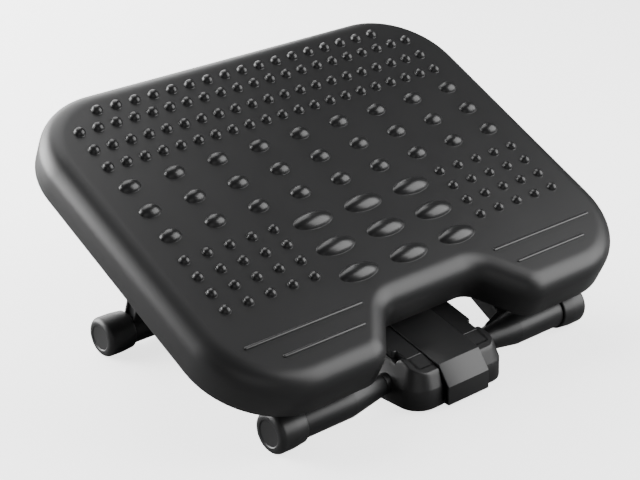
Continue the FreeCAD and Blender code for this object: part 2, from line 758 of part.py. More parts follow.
def pod_housing():
    """The moulding in the middle of the front bar: two cheeks beside the pedal and the floor below."""
    nose_rear = "-pod_rear"
    low = [
        ("-pod_half_width - pod_flare", "-pod_front - pod_flare / 2", "pod_front_round"),
        ("pod_half_width + pod_flare", "-pod_front - pod_flare / 2", "pod_front_round"),
        ("pod_half_width + pod_flare", nose_rear, "0"),
        ("-pod_half_width - pod_flare", nose_rear, "0"),
    ]
    base = prism("pod_base", "XY", low, ("pod_bottom_z", "pod_crease_z"))
    upper = prism("pod_upper", "XY", low, ("pod_crease_z", "pod_crease_z + 50"), "-pod_taper")
    boss = rod("pod_boss", "pod_boss_radius", ("-pod_boss_x", "pod_boss_x"), *FRONT_BAR)
    above = prism("pod_above", "YZ", [
        ("-pod_front - 30", pod_top("pod_front + 30", "cheek_drop"), "0"),
        ("-cover_front", pod_top("cover_front", "cheek_drop"), "0"),
        ("-cover_front", pod_top("cover_front", "cover_thickness"), "0"),
        ("-pod_rear + 10", pod_top("pod_rear - 10", "cover_thickness"), "0"),
        ("-pod_rear + 10", "120", "0"),
        ("-pod_front - 30", "120", "0"),
    ], ("-pod_half_width - 30", "pod_half_width + 30"))
    slot = block("pedal_room", ("-pedal_half_width - pedal_slot_gap", "pedal_half_width + pedal_slot_gap"),
                 ("-pod_front - 30", "-pod_rear + 1"), ("pod_bottom_z + pod_floor", "120"))
    rear_room = prism("pod_rear_room", "YZ", [
        ("-pod_room_front", "pod_bottom_z + pod_floor", "0"),
        ("-pod_rear + 1", "pod_bottom_z + pod_floor", "0"),
        ("-pod_rear + 1", "120", "0"),
        ("-pod_room_front", "120", "0"),
    ], ("-pod_half_width + pod_wall", "pod_half_width - pod_wall"))
    bore = tube_bore("pod_core_bore", ("-pod_boss_x - 1", "pod_boss_x + 1"), FRONT_BAR)
    tools = [above, slot, rear_room, bore] + plate_space("pod_slot_left", -1) + plate_space("pod_slot_right", 1)
    for i, (x, y) in enumerate(COVER_POSTS):
        tools.append(post("pod_hole%d" % i, "screw_radius + body_gap", x, y, ("0", "pod_bottom_z + pod_floor + 1")))
    sub_part(cut("pod", fuse("pod_blank", [base, upper, boss]), tools), "pod_housing")


def pod_cover():
    """The lid over the rear of the pod, open in the middle for the pedal."""
    lid = prism("cover_blank", "YZ", [
        ("-cover_front + body_gap", pod_top("cover_front - body_gap", "cheek_drop"), "0"),
        ("-cover_front + body_gap", pod_top("cover_front - body_gap", "cover_thickness - body_gap"), "0"),
        ("-pod_rear", pod_top("pod_rear", "cover_thickness - body_gap"), "0"),
        ("-pod_rear", pod_top("pod_rear", "cheek_drop"), "0"),
    ], ("-pod_half_width + 1", "pod_half_width - 1"))
    slot = block("cover_slot", ("-pedal_half_width - pedal_slot_gap", "pedal_half_width + pedal_slot_gap"),
                 ("-cover_front - 1", "front_bar_y + pedal_rear_reach + pedal_slot_gap"), ("0", "120"))
    seat = "pod_bottom_z + pod_floor"
    pieces = [lid]
    tools = [slot] + plate_space("cover_slot_left", -1) + plate_space("cover_slot_right", 1)
    for side, sign in (("left", -1), ("right", 1)):
        tools.append(block(
            "cover_notch_%s" % side, span_x(sign, "pod_half_width - 1 - cover_notch_depth", "pod_half_width + 1"),
            ("-cover_front - 1", "-cover_front + cover_notch_length"), ("0", "120")))
    for i, (x, y) in enumerate(COVER_POSTS):
        top = pod_top("cover_post_y", "cover_thickness / 2")
        pieces.append(post("cover_post%d" % i, "cover_post_radius", x, y, (seat, top)))
        tools.append(post("cover_hole%d" % i, "screw_radius + running_gap", x, y,
                          (seat + " - 1", "pod_bottom_z + screw_length + 1")))
    sub_part(cut("cover", fuse("cover_joined", pieces), tools), "pod_cover")


def pod_screws():
    solid = doc.addObject("Part::Compound", "cover_screws")
    solid.Links = [screw("pod_screw%d" % i, x, y, "pod_bottom_z", True) for i, (x, y) in enumerate(COVER_POSTS)]
    sub_part(solid, "pod_screws")


def foot_pedal():
    """The pedal that turns on the front bar: nose, sloping face and top, two ribs, boss and lug."""
    nose = "front_bar_y - pedal_nose_reach"
    rear = "front_bar_y + pedal_rear_reach"
    front = "-pod_front"
    t = "pedal_thickness"
    sheet_part = prism("pedal_skin", "YZ", [
        (nose, "pedal_bottom_z", "0"),
        ("%s + %s" % (nose, t), "pedal_bottom_z", "0"),
        ("%s + %s" % (nose, t), "pedal_crease_z - 1.2", "0"),
        ("%s + 2" % front, "pod_top_z - pedal_thickness", "0"),
        (rear, pod_top("-(%s)" % rear, t), "0"),
        (rear, pod_top("-(%s)" % rear), "0"),
        (front, "pod_top_z", "0"),
        (nose, "pedal_crease_z", "0"),
    ], ("-pedal_half_width", "pedal_half_width"))
    pieces = [sheet_part]
    for side, sign in (("left", -1), ("right", 1)):
        pieces.append(prism("pedal_rib_%s" % side, "YZ", [
            ("%s + %s - 1" % (nose, t), "pedal_crease_z - 5", "0"),
            ("front_bar_y", "bar_height - 4", "0"),
            ("front_bar_y + pedal_boss_radius - 2", "bar_height - 4", "0"),
            ("%s + 3" % ROD_PIN[0], "%s - 3" % ROD_PIN[1], "0"),
            (rear + " - 3", pod_top("-(%s) - 3" % rear, t + " - 0.5"), "0"),
            ("%s + 4" % front, "pod_top_z - pedal_thickness + 1.2", "0"),
            ("%s + %s - 1" % (nose, t), "pedal_crease_z - 1.2", "0"),
        ], span_x(sign, "pedal_rib_x", "pedal_rib_x + pedal_rib_thickness")))
    pieces.append(rod("pedal_boss", "pedal_boss_radius", ("-pedal_half_width", "pedal_half_width"), *FRONT_BAR))
    lug_x = ("-pedal_rib_x - pedal_rib_thickness", "-pedal_rib_x")
    pieces.append(rod("pedal_lug", "lug_radius", lug_x, *ROD_PIN))
    tools = [tube_bore("pedal_bore", ("-pedal_half_width - 1", "pedal_half_width + 1"), FRONT_BAR)]
    tools.append(rod("pedal_pin_bore", "rod_pin_radius + running_gap",
                     ("-pedal_rib_x - pedal_rib_thickness - 1", "-pedal_rib_x + 1"), *ROD_PIN))
    sub_part(cut("pedal", fuse("pedal_blank", pieces), tools), "foot_pedal")


def rod_pin():
    """The pin in the pedal's lug that the rod hangs on."""
    x = (ROD_X[0] + " - 2", "-pedal_rib_x - 0.5")
    sub_part(rod("rod_pin_body", "rod_pin_radius", x, *ROD_PIN), "pedal_rod_pin")


def release_rod():
    bar = link("rod", ROD_PIN, LEVER_PIN, "rod_width", ROD_X)
    x = (ROD_X[0] + " - 1", ROD_X[1] + " + 1")
    holes = [
        rod("rod_front_hole", "rod_pin_radius + running_gap", x, *ROD_PIN),
        rod("rod_rear_hole", "rod_pin_radius + rod_free_gap", x, *LEVER_PIN),
    ]
    sub_part(cut("release", fuse("release_blank", bar), holes), "release_rod")


def brake_lever():
    """The lever on the axle that eases the brake when the rod pulls it."""
    arm = link("lever_arm", LEVER_PIN, AXLE, "lever_width", LEVER_X)
    hub = rod("lever_hub", "lever_boss_radius", (LEVER_X[0], "-%s - 2 * body_gap" % STEEL_DISC[1]), *AXLE)
    pin = rod("lever_pin", "rod_pin_radius", (LEVER_X[0], ROD_X[1]), *LEVER_PIN)
    bore = axle_bore("lever_bore", (LEVER_X[0] + " - 1", "-yoke_boss_half_width"))
    sub_part(cut("lever", fuse("lever_blank", arm + [hub, pin]), [bore]), "brake_lever")


def spine_plate(side, sign):
    """A steel plate from the front bar to the axle."""
    name = "plate_%s" % side
    x = span_x(sign, "plate_inner_x", "plate_inner_x + plate_thickness")
    wide = span_x(sign, "plate_inner_x - 1", "plate_inner_x + plate_thickness + 1")
    bores = [tube_bore(name + "_core_bore", wide, FRONT_BAR), axle_bore(name + "_axle_bore", wide)]
    bores.append(rod(name + "_rivet_hole", "rivet_radius + running_gap", wide, *SPACER))
    sub_part(cut(name, fuse(name + "_blank", link(name + "_link", FRONT_BAR, AXLE, "plate_width", x)), bores),
             "spine_plate_%s" % side)


def main_axle():
    body = rod("axle_body", "axle_radius", ("-axle_half_length", "axle_half_length"), *AXLE)
    sub_part(body, "main_axle")


def spine_spacer():
    """The tube that keeps the spine plates apart."""
    x = ("-plate_inner_x", "plate_inner_x")
    tube = rod("spacer_tube", "spacer_radius", x, *SPACER)
    bore = rod("spacer_bore", "rivet_radius + running_gap", (x[0] + " - 1", x[1] + " + 1"), *SPACER)
    sub_part(cut("spacer", tube, [bore]), "spine_spacer")


def spine_rivet():
    """The rivet through both spine plates and their spacer."""
    seat = "plate_inner_x + plate_thickness"
    pieces = [rod("rivet_shank", "rivet_radius", ("-(%s)" % seat, seat), *SPACER)]
    for side, sign in (("left", -1), ("right", 1)):
        x = span_x(sign, seat, seat + " + rivet_head_height")
        radii = ("rivet_head_radius", "rivet_head_radius - 1.2")
        pieces.append(taper("rivet_head_%s" % side, radii[::sign], x, *SPACER))
    sub_part(fuse("rivet", pieces), "spine_rivet")


def ring(name, radius, x):
    """A ring on the axle."""
    wide = ("(%s) - 1" % x[0], "(%s) + 1" % x[1])
    return cut(name, rod(name + "_blank", radius, x, *AXLE), [axle_bore(name + "_bore", wide)])


def rings(label, radius, inner, outer):
    """A pair of equal rings on the axle, one on each side, in one node."""
    solid = doc.addObject("Part::Compound", label + "_pair")
    solid.Links = [ring("%s_%s" % (label, side), radius, span_x(sign, inner, outer))
                   for side, sign in (("left", -1), ("right", 1))]
    sub_part(solid, label)


def brake_spring():
    """Three disc springs back to back between the right brake disc and its spine plate."""
    start = "%s + body_gap" % STEEL_DISC[1]
    step = "(plate_inner_x - body_gap - (%s)) / 3" % start
    washers = []
    for i in range(3):
        x = ("%s + %d * %s" % (start, i, step), "%s + %d * %s" % (start, i + 1, step))
        turn = 1 if i % 2 == 0 else -1
        outer = ("disc_spring_radius", "disc_spring_radius - 4.5")[::turn]
        inner = ("disc_spring_radius - 1.4", "disc_spring_radius - 5.9")[::turn]
        blank = taper("disc_spring%d_blank" % i, outer, x, *AXLE)
        bore = taper("disc_spring%d_bore" % i, inner, x, *AXLE)
        washers.append(cut("disc_spring%d" % i, blank, [bore]))
    solid = doc.addObject("Part::Compound", "disc_springs")
    solid.Links = washers
    sub_part(solid, "brake_spring")


def axle_end_caps():
    caps = []
    for side, sign in (("left", -1), ("right", 1)):
        name = "axle_cap_%s" % side
        x = span_x(sign, "rear_arm_outer_x + body_gap", "rear_arm_outer_x + body_gap + axle_cap_length")
        far = sign * value("rear_arm_outer_x + body_gap + axle_cap_length")
        blank = rod(name + "_blank", "axle_cap_radius", x, *AXLE)
        rounded = round_edges(name + "_rounded", blank, "1.5",
                              lambda e: abs(e.BoundBox.XMin - far) < 0.01 and abs(e.BoundBox.XMax - far) < 0.01)
        bore = axle_bore(name + "_bore", span_x(sign, "rear_arm_outer_x - 1", "axle_half_length"))
        caps.append(cut(name, rounded, [bore]))
    solid = doc.addObject("Part::Compound", "axle_caps")
    solid.Links = caps
    sub_part(solid, "axle_end_caps")


def pedal_spring():
    """The coil spring that stands on the pod's floor and lifts the pedal."""
    low = "pod_bottom_z + pod_floor + spring_wire + running_gap"
    high = pod_top("spring_y + spring_radius + spring_wire", "pedal_thickness + spring_wire + running_gap")
    coil = doc.addObject("Part::Helix", "spring_line")
    bind(coil, "Height", "(%s) - (%s)" % (high, low))
    bind(coil, "Pitch", "((%s) - (%s)) / spring_turns" % (high, low))
    bind(coil, "Radius", "spring_radius")
    place_at(coil, "0", "-spring_y", low)
    wire = doc.addObject("Part::Circle", "spring_section")
    bind(wire, "Radius", "spring_wire")
    place_at(wire, "spring_radius", "-spring_y", low, FreeCAD.Rotation(V(1, 0, 0), 90))
    solid = doc.addObject("Part::Sweep", "spring_body")
    solid.Sections = [wire]
    solid.Spine = (coil, ["Edge1"])
    solid.Solid = True
    solid.Frenet = True
    sub_part(solid, "pedal_spring")


def check():
    """Stop if any object failed or any piece is not made of sound solids."""
    for obj in doc.Objects:
        if "Invalid" in obj.State or "Error" in obj.State:
            raise RuntimeError("%s: %s" % (obj.Name, obj.State))
    for piece in parts:
        if piece.Shape.isNull() or not piece.Shape.isValid() or not piece.Shape.Solids:
            raise RuntimeError("%s is not a sound solid" % piece.Label)


platform_shell()
platform_ribs()
both_sides(axle_bracket)
both_sides(axle_bush)
bracket_screws()
both_sides(front_leg)
both_sides(rear_leg)
rear_yoke()
bar_core("front_bar_core", FRONT_BAR)
bar_core("rear_bar_core", REAR_BAR)
for label, sign, place in (
    ("front_foot_cap_left", -1, FRONT_BAR),
    ("front_foot_cap_right", 1, FRONT_BAR),
    ("rear_foot_cap_left", -1, REAR_BAR),
    ("rear_foot_cap_right", 1, REAR_BAR),
):
    foot_cap(label, sign, place)
pod_housing()
pod_cover()
pod_screws()
both_sides(spine_plate)
spine_spacer()
spine_rivet()
main_axle()
axle_end_caps()
rings("axle_spacers", "axle_spacer_radius",
      "bracket_outer_x + bush_flange_thickness + body_gap", "front_arm_inner_x - body_gap")
rings("leg_washers", "leg_washer_radius", "front_arm_outer_x + body_gap", "rear_arm_inner_x - body_gap")
rings("brake_steel_discs", "disc_radius", *STEEL_DISC)
rings("brake_fibre_discs", "disc_radius - 1", *FIBRE_DISC)
brake_spring()
foot_pedal()
rod_pin()
pedal_spring()
release_rod()
brake_lever()
doc.recompute()
check()
os.makedirs("parts", exist_ok=True)
for piece in parts:
    piece.Shape.exportStep("parts/%s.step" % piece.Label)
    box = piece.Shape.optimalBoundingBox(False)
    print(piece.Label, len(piece.Shape.Solids), round(piece.Shape.Volume),
          [round(v, 1) for v in (box.XMin, box.XMax, box.YMin, box.YMax, box.ZMin, box.ZMax)])
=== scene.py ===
"""Looks of a tilting under-desk footrest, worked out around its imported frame.

Every size is in metres, in the frame's own axes: x across the footrest, y from the user to the rear, z up.
"""

import json
import math

import bmesh
import bpy
import numpy as np
from bpy.props import FloatProperty, FloatVectorProperty, IntProperty, PointerProperty
from mathutils import Matrix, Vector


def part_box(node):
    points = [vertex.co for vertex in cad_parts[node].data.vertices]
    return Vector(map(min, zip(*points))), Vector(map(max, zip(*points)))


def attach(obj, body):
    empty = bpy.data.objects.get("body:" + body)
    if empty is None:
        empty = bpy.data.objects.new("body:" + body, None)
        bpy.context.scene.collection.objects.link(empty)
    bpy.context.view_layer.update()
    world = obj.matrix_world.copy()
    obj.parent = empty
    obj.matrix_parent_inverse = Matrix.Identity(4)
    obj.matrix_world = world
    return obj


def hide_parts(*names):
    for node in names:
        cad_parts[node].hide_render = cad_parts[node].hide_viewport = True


bl_info = {
    "name": "Tilting footrest",
    "version": (1, 0, 0),
    "blender": (4, 5, 0),
    "location": "View3D > Sidebar > Footrest",
    "description": "Builds the surfaces, materials and stage of a tilting footrest",
    "category": "Add Mesh",
}

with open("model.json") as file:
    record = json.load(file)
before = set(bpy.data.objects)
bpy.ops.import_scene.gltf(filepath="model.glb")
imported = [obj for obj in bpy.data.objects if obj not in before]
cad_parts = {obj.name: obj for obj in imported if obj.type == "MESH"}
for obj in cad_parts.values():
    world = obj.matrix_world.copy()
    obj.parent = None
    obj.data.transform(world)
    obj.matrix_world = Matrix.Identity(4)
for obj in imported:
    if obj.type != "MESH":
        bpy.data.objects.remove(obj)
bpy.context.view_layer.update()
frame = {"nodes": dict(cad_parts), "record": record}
MM = 0.001
BAR_BORE = 6.05 * MM
PIN_BORE = 2.55 * MM
NECK_RADIUS = 12 * MM  # Of the bars' stubs that carry the foot caps.
SLEEVE_END = 147.7 * MM
POD_REAR = -84 * MM
LID_FRONT = -133.3 * MM

# Rows of bumps: kind, distances of the rows from the plate's middle, count and pitch along a row, in mm.
BUMP_ROWS = (
    ("dome", (146.9,), 17, 19.4),
    ("dome", (128.5, 106.2, 84.7), 21, 18.4),
    ("oval", (58.9, 29.0, -0.9), 9, 44.9),
    ("side", (-27.7, -46.6, -65.5, -84.3), 5, 22.6),
    ("large", (-32.3, -63.7, -95.2), 3, 55.6),
)
SIDE_GROUP_X = 139.4
# Raised lines: distance from the plate's middle, inner end and outer end, in mm.
LINES = ((-123.0, 76.0, 193.0), (-142.0, 88.0, 169.0))
# Bracket screws in plate coordinates: middle of a bracket, and half the distances between its screws.
SCREW_MIDDLE_X, SCREW_HALF_X, SCREW_HALF_Y = 68 * MM, 12.5 * MM, 27 * MM

# Lamps: name, way to it, width in metres and power in watts. All hang at one distance and face one place.
LAMPS = (
    ("left", (-0.67, 0.61, 0.41), 1.2, 21.0),
    ("right", (0.65, -0.60, 0.42), 1.6, 44.0),
    ("high", (0.10, 0.50, 0.86), 1.2, 14.0),
    ("back", (0.28, 0.92, 0.25), 1.2, 20.0),
    ("rim", (-0.50, 0.85, 0.20), 1.2, 62.0),
    ("front", (-0.62, -0.77, 0.12), 1.2, 3.0),
)
LAMP_AIM = np.array((0, 0, 0.1))
LAMP_DISTANCE = 1.6
# Strengths: what the world and the paper give the footrest, and what the camera sees of them.
WORLD_LIGHT, WORLD_SEEN, PAPER_DULL, PAPER_GLOW = 0.10, 2.7, 0.2, 2.2
# The photographed view, from a camera fitted to the plate's edges, the feet and the rows of bumps.
VIEW_RIGHT = np.array((0.75902, -0.65041, -0.02923))
VIEW_DOWN = np.array((-0.27488, -0.27944, -0.91998))
VIEW_AHEAD = np.array((0.59019, 0.70632, -0.39088))
VIEW_PLACE = np.array((-0.9022, -1.0587, 0.68505))


def middle(node):
    """The middle of a node's box."""
    low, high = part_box(node)
    return (np.array(low) + np.array(high)) / 2


def mount(name):
    """One of the record's mounts."""
    return [m for m in frame["record"]["mounts"] if m["name"] == name][0]


AXLE = middle("main_axle")
FRONT_BAR = middle("front_bar_core")
REAR_BAR = middle("rear_bar_core")
REST_NORMAL = np.array(mount("foot_rest")["axis"])
TILT = math.atan2(-REST_NORMAL[1], REST_NORMAL[2])
PLATE_LEVEL = float((np.array(mount("foot_rest")["pos_m"]) - AXLE) @ REST_NORMAL)


# Sizes and colours that a user would change.
def length(name, default, description):
    """A size in metres."""
    return FloatProperty(name=name, description=description, default=default, unit="LENGTH", precision=4)


def colour(name, default, description):
    """A linear colour."""
    return FloatVectorProperty(
        name=name, description=description, default=default, size=3, min=0.0, max=1.0, subtype="COLOR")


class PlateSizes(bpy.types.PropertyGroup):
    width: length("Width", 0.450, "Width of the plate")
    depth: length("Depth", 0.350, "Depth of the plate along its slope")
    corner: length("Corner radius", 0.075, "Radius of the four outer corners")
    height: length("Edge height", 0.038, "Height of the plate's edge")
    edge_round: length("Edge round", 0.018, "Radius between the top and the side")
    wall: length("Wall", 0.003, "Thickness of the moulding")
    notch_depth: length("Notch depth", 0.044, "How far the notch reaches in from the front edge")
    notch_back: length("Notch back", 0.050, "Half the notch's width at its back")
    notch_mouth: length("Notch mouth", 0.085, "Half the notch's width at the front edge")
    rib_pitch_x: length("Rib pitch across", 0.068, "Distance between the ribs that run front to back")
    rib_pitch_y: length("Rib pitch along", 0.087, "Distance between the ribs that run side to side")
    rib_depth: length("Rib depth", 0.017, "Depth of the ribs below the plate")


class BumpSizes(bpy.types.PropertyGroup):
    dome_radius: length("Dome radius", 0.0053, "Radius of the small round bumps")
    dome_height: length("Dome height", 0.0046, "Height of the small round bumps")
    side_radius: length("Side dome radius", 0.0049, "Radius of the bumps beside the middle")
    side_height: length("Side dome height", 0.0042, "Height of the bumps beside the middle")
    oval_length: length("Oval length", 0.0200, "Length of the oval bumps")
    oval_width: length("Oval width", 0.0140, "Width of the oval bumps")
    oval_height: length("Oval height", 0.0052, "Height of the oval bumps")
    large_length: length("Large oval length", 0.040, "Length of the nine middle bumps")
    large_width: length("Large oval width", 0.0180, "Width of the nine middle bumps")
    large_height: length("Large oval height", 0.0060, "Height of the nine middle bumps")
    blend: length("Foot of a bump", 0.00012, "How softly a bump grows out of the plate")
    line_width: length("Line width", 0.0032, "Width of the raised lines by the front edge")
    line_height: length("Line height", 0.0014, "Height of the raised lines")


class FrameSizes(bpy.types.PropertyGroup):
    tube: length("Front tube radius", 0.015, "Radius of the front bar's sleeves")
    rear_tube: length("Rear tube radius", 0.0145, "Radius of the rear bar's sleeves")
    yoke_tube: length("Middle sleeve radius", 0.0125, "Radius of the rear bar's middle sleeve")
    bore: length("Bore radius", 0.00605, "Radius of the bores")
    cap: length("Cap radius", 0.0182, "Radius of the rubber caps")
    cap_neck: length("Cap neck radius", 0.017, "Radius of a cap at its inner end")
    cap_dish: length("Cap dish radius", 0.011, "Radius of the shallow dish in a cap's face")
    arm: length("Arm width", 0.016, "Width of the arms, seen from the side")
    boss: length("Arm boss radius", 0.014, "Radius of the bosses on the axle")


class PodSizes(bpy.types.PropertyGroup):
    half_width: length("Half width", 0.046, "Half the pod's width at its crease, without the flare")
    flare: length("Flare", 0.0075, "How far the pod widens at its crease")
    front_flare: length("Front flare", 0.0060, "How far the crease stands ahead of the top's front edge")
    lean: FloatProperty(
        name="Lean", description="Lean of the cheeks above the crease", default=math.radians(20),
        subtype="ANGLE")
    front: length("Front", 0.1524, "Distance of the top front edge from the middle of the footrest")
    front_round: length("Front round", 0.020, "Radius of the front corners")
    crease: length("Crease height", 0.0195, "Height of the crease above the floor")
    bottom: length("Bottom height", 0.002, "Height of the pod's floor above the ground")
    top: length("Top height", 0.037, "Height of the top at its front edge")
    slope: FloatProperty(
        name="Top slope", description="Slope of the pod's top", default=math.radians(15), subtype="ANGLE")
    pedal_half_width: length("Pedal half width", 0.0234, "Half the pedal's width")
    pedal_gap: length("Pedal gap", 0.0012, "Groove between the pedal and the lid")
    cheek_gap: length("Cheek gap", 0.0007, "Groove between the pedal and a cheek")
    notch: length("Notch", 0.041, "Distance from the middle to the notches in the lid's front corners")


class FinishColours(bpy.types.PropertyGroup):
    plate: colour("Plate", (0.012, 0.012, 0.0125), "Colour of the plate")
    frame: colour("Frame", (0.012, 0.012, 0.0125), "Colour of the legs and the pod")
    rubber: colour("Rubber", (0.015, 0.015, 0.0155), "Colour of the foot caps")
    zinc: colour("Zinc", (0.60, 0.60, 0.58), "Colour of the plated steel")
    floor: colour("Floor", (0.86, 0.86, 0.86), "Colour of the floor")


class StageSizes(bpy.types.PropertyGroup):
    lens: FloatProperty(name="Lens", description="Focal length of the camera in mm", default=97.56)
    reach: length("Floor reach", 9.0, "Distance from the middle to the edge of the floor")
    around: IntProperty(name="Segments", description="Segments around a round piece", default=64)


GROUPS = {
    "footrest_plate": PlateSizes,
    "footrest_bumps": BumpSizes,
    "footrest_frame": FrameSizes,
    "footrest_pod": PodSizes,
    "footrest_colours": FinishColours,
    "footrest_stage": StageSizes,
}


# Shapes as arrays of points.
def rounded(corners, closed=True, steps=10):
    """Points and outward normals along straight sides joined by arcs.

    A corner is (a, b, radius). Its arc starts radius * tan(turn / 2) before the corner. The arc's normals
    turn evenly from one side's normal to the next one's, and its points are centre + radius * normal. The
    loop runs anticlockwise, so that a side's normal is its direction turned a quarter to the right.
    """
    spots = np.array([c[:2] for c in corners], float)
    points, normals = [], []
    count = len(corners)
    for i in range(count):
        radius = corners[i][2] if len(corners[i]) > 2 else 0.0
        if not closed and i in (0, count - 1):
            side = spots[1] - spots[0] if i == 0 else spots[-1] - spots[-2]
            side = side / np.linalg.norm(side)
            points.append(spots[i][None])
            normals.append(np.array([[side[1], -side[0]]]))
            continue
        before = spots[i] - spots[i - 1]
        after = spots[(i + 1) % count] - spots[i]
        before, after = before / np.linalg.norm(before), after / np.linalg.norm(after)
        turn = math.atan2(before[0] * after[1] - before[1] * after[0], float(before @ after))
        if radius < 1e-6 or abs(turn) < 1e-4:
            both = np.array([[before[1], -before[0]], [after[1], -after[0]]]).sum(0)
            points.append(spots[i][None])
            normals.append((both / np.linalg.norm(both) / math.cos(turn / 2))[None])
            continue
        start = spots[i] - before * radius * math.tan(abs(turn) / 2)
        first = np.array([before[1], -before[0]])
        centre = start - first * radius * math.copysign(1, turn)
        swing = np.linspace(0, turn, max(3, round(steps * abs(turn) / math.pi * 2) + 1))
        normal = np.stack([first[0] * np.cos(swing) - first[1] * np.sin(swing),
                           first[0] * np.sin(swing) + first[1] * np.cos(swing)], 1)
        points.append(centre + math.copysign(radius, turn) * normal)
        normals.append(normal)
    return np.concatenate(points), np.concatenate(normals)


def grid_faces(rows, columns, wrap=True):
    """Quads between neighbouring rows of a grid; wrap joins the last column to the first."""
    row = np.arange(rows - 1)[:, None]
    column = np.arange(columns if wrap else columns - 1)[None, :]
    ahead = (column + 1) % columns
    quads = np.stack([row * columns + column, row * columns + ahead,
                      (row + 1) * columns + ahead, (row + 1) * columns + column], -1)
    return quads.reshape(-1, 4).tolist()


def ring_stack(rings):
    """A tube of rings of points, with a flat face over its first and its last ring."""
    rings = np.asarray(rings)
    rows, columns = rings.shape[:2]
    faces = grid_faces(rows, columns)
    faces.append(list(range(columns))[::-1])
    faces.append([(rows - 1) * columns + i for i in range(columns)])
    return rings.reshape(-1, 3), faces


def swept(outline, profile, place):
    """A profile of (inset, level) carried round a closed outline: point = outline - normal * inset.

    place turns the two plan coordinates and the level into a point in space.
    """
    points, normals = outline
    rings = [place(points - normals * inset, level) for inset, level in profile]
    return ring_stack(rings)


def lathe(profile, centre, segments):
    """A profile of (distance along x, radius) turned round the line along x through centre.

    point = centre + (distance, radius * cos angle, radius * sin angle).
    """
    profile = np.asarray(profile, float)
    angle = np.linspace(0, 2 * math.pi, segments, endpoint=False)
    points = np.zeros((len(profile), segments, 3))
    points[:, :, 0] = profile[:, 0, None]
    points[:, :, 1] = profile[:, 1, None] * np.cos(angle)
    points[:, :, 2] = profile[:, 1, None] * np.sin(angle)
    points += np.asarray(centre, float)
    faces = grid_faces(len(profile), segments)
    if profile[0, 1] > 1e-6:
        faces.append(list(range(segments))[::-1])
    if profile[-1, 1] > 1e-6:
        faces.append([(len(profile) - 1) * segments + i for i in range(segments)])
    return points.reshape(-1, 3), faces


def joined(shapes):
    """Several (points, faces) pairs as one."""
    points, faces, start = [], [], 0
    for spots, some in shapes:
        points.append(np.asarray(spots, float).reshape(-1, 3))
        faces += [[i + start for i in face] for face in some]
        start += len(points[-1])
    return np.concatenate(points), faces


def flipped(shape):
    """The mirror image of a shape across x = 0, with its faces turned round."""
    points, faces = shape
    image = np.array(points)
    image[:, 0] *= -1
    return image, [face[::-1] for face in faces]


def mirrored(shape):
    """A shape and its mirror image across x = 0."""
    return joined([shape, flipped(shape)])


def from_side(spots, level):
    """Places an outline of (y, z) points at a level along x."""
    return np.concatenate([np.full((len(spots), 1), level), spots], 1)


def from_above(spots, level):
    """Places an outline of (x, y) points at a height."""
    return np.concatenate([spots, np.full((len(spots), 1), level)], 1)


def on_plate(spots, level):
    """Plate coordinates to space: the plate's origin is on the axle, and it is tilted about x."""
    spots = np.asarray(spots, float)
    level = np.broadcast_to(level, spots.shape[:-1])
    c, s = math.cos(TILT), math.sin(TILT)
    return np.stack([spots[..., 0], AXLE[1] + spots[..., 1] * c - level * s,
                     AXLE[2] + spots[..., 1] * s + level * c], -1)


def linked(name, data):
    """A new object in the scene."""
    obj = bpy.data.objects.new(name, data)
    bpy.context.scene.collection.objects.link(obj)
    return obj


def piece(name, shape, material, body, replaces=(), sharp=35, bevel=0.0, turn_out=True):
    """A mesh object from (points, faces), with its normals outwards, its material and its body."""
    points, faces = shape
    mesh = bpy.data.meshes.new(name)
    mesh.from_pydata(np.asarray(points).tolist(), [], faces)
    obj = linked(name, mesh)
    if turn_out:
        weld_and_turn_out(mesh)
    mesh.polygons.foreach_set("use_smooth", np.ones(len(mesh.polygons), bool))
    mesh.set_sharp_from_angle(angle=math.radians(sharp))
    mesh.materials.append(material)
    if bevel:
        rounding = obj.modifiers.new("edges", "BEVEL")
        rounding.width = bevel
        rounding.segments = 3
        rounding.limit_method = "ANGLE"
        rounding.angle_limit = math.radians(sharp)
        rounding.harden_normals = True
    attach(obj, body)
    if replaces:
        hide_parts(*replaces)
    return obj


def weld_and_turn_out(mesh):
    """Join points that share a place, then make every closed shell face outwards."""
    work = bmesh.new()
    work.from_mesh(mesh)
    bmesh.ops.remove_doubles(work, verts=work.verts, dist=1e-7)
    bmesh.ops.recalc_face_normals(work, faces=work.faces)
    work.to_mesh(mesh)
    work.free()


# Materials: shared node groups first.
def group_sockets(group, inputs, outputs):
    """Give a node group its inputs (name, kind, default) and its outputs (name, kind)."""
    for name, kind, default in inputs:
        socket = group.interface.new_socket(name=name, in_out="INPUT", socket_type=kind)
        socket.default_value = default
    for name, kind in outputs:
        group.interface.new_socket(name=name, in_out="OUTPUT", socket_type=kind)


def maths(tree, operation, *values):
    """The result of a maths node whose inputs are sockets or plain numbers."""
    node = tree.nodes.new("ShaderNodeMath")
    node.operation = operation
    for socket, value in zip(node.inputs, values):
        if isinstance(value, float):
            socket.default_value = value
        else:
            tree.links.new(value, socket)
    return node.outputs[0]


def camera_mix(tree, seen, lit, sink):
    """Show the camera one shader, and everything else the other."""
    path, choice = tree.nodes.new("ShaderNodeLightPath"), tree.nodes.new("ShaderNodeMixShader")
    tree.links.new(path.outputs["Is Camera Ray"], choice.inputs["Fac"])
    tree.links.new(lit, choice.inputs[1])
    tree.links.new(seen, choice.inputs[2])
    tree.links.new(choice.outputs[0], sink)


def group_node(tree, name, **values):
    """A node that uses a shared group, with the values of its inputs."""
    node = tree.nodes.new("ShaderNodeGroup")
    node.node_tree = bpy.data.node_groups[name]
    for socket, value in values.items():
        node.inputs[socket].default_value = value
    return node


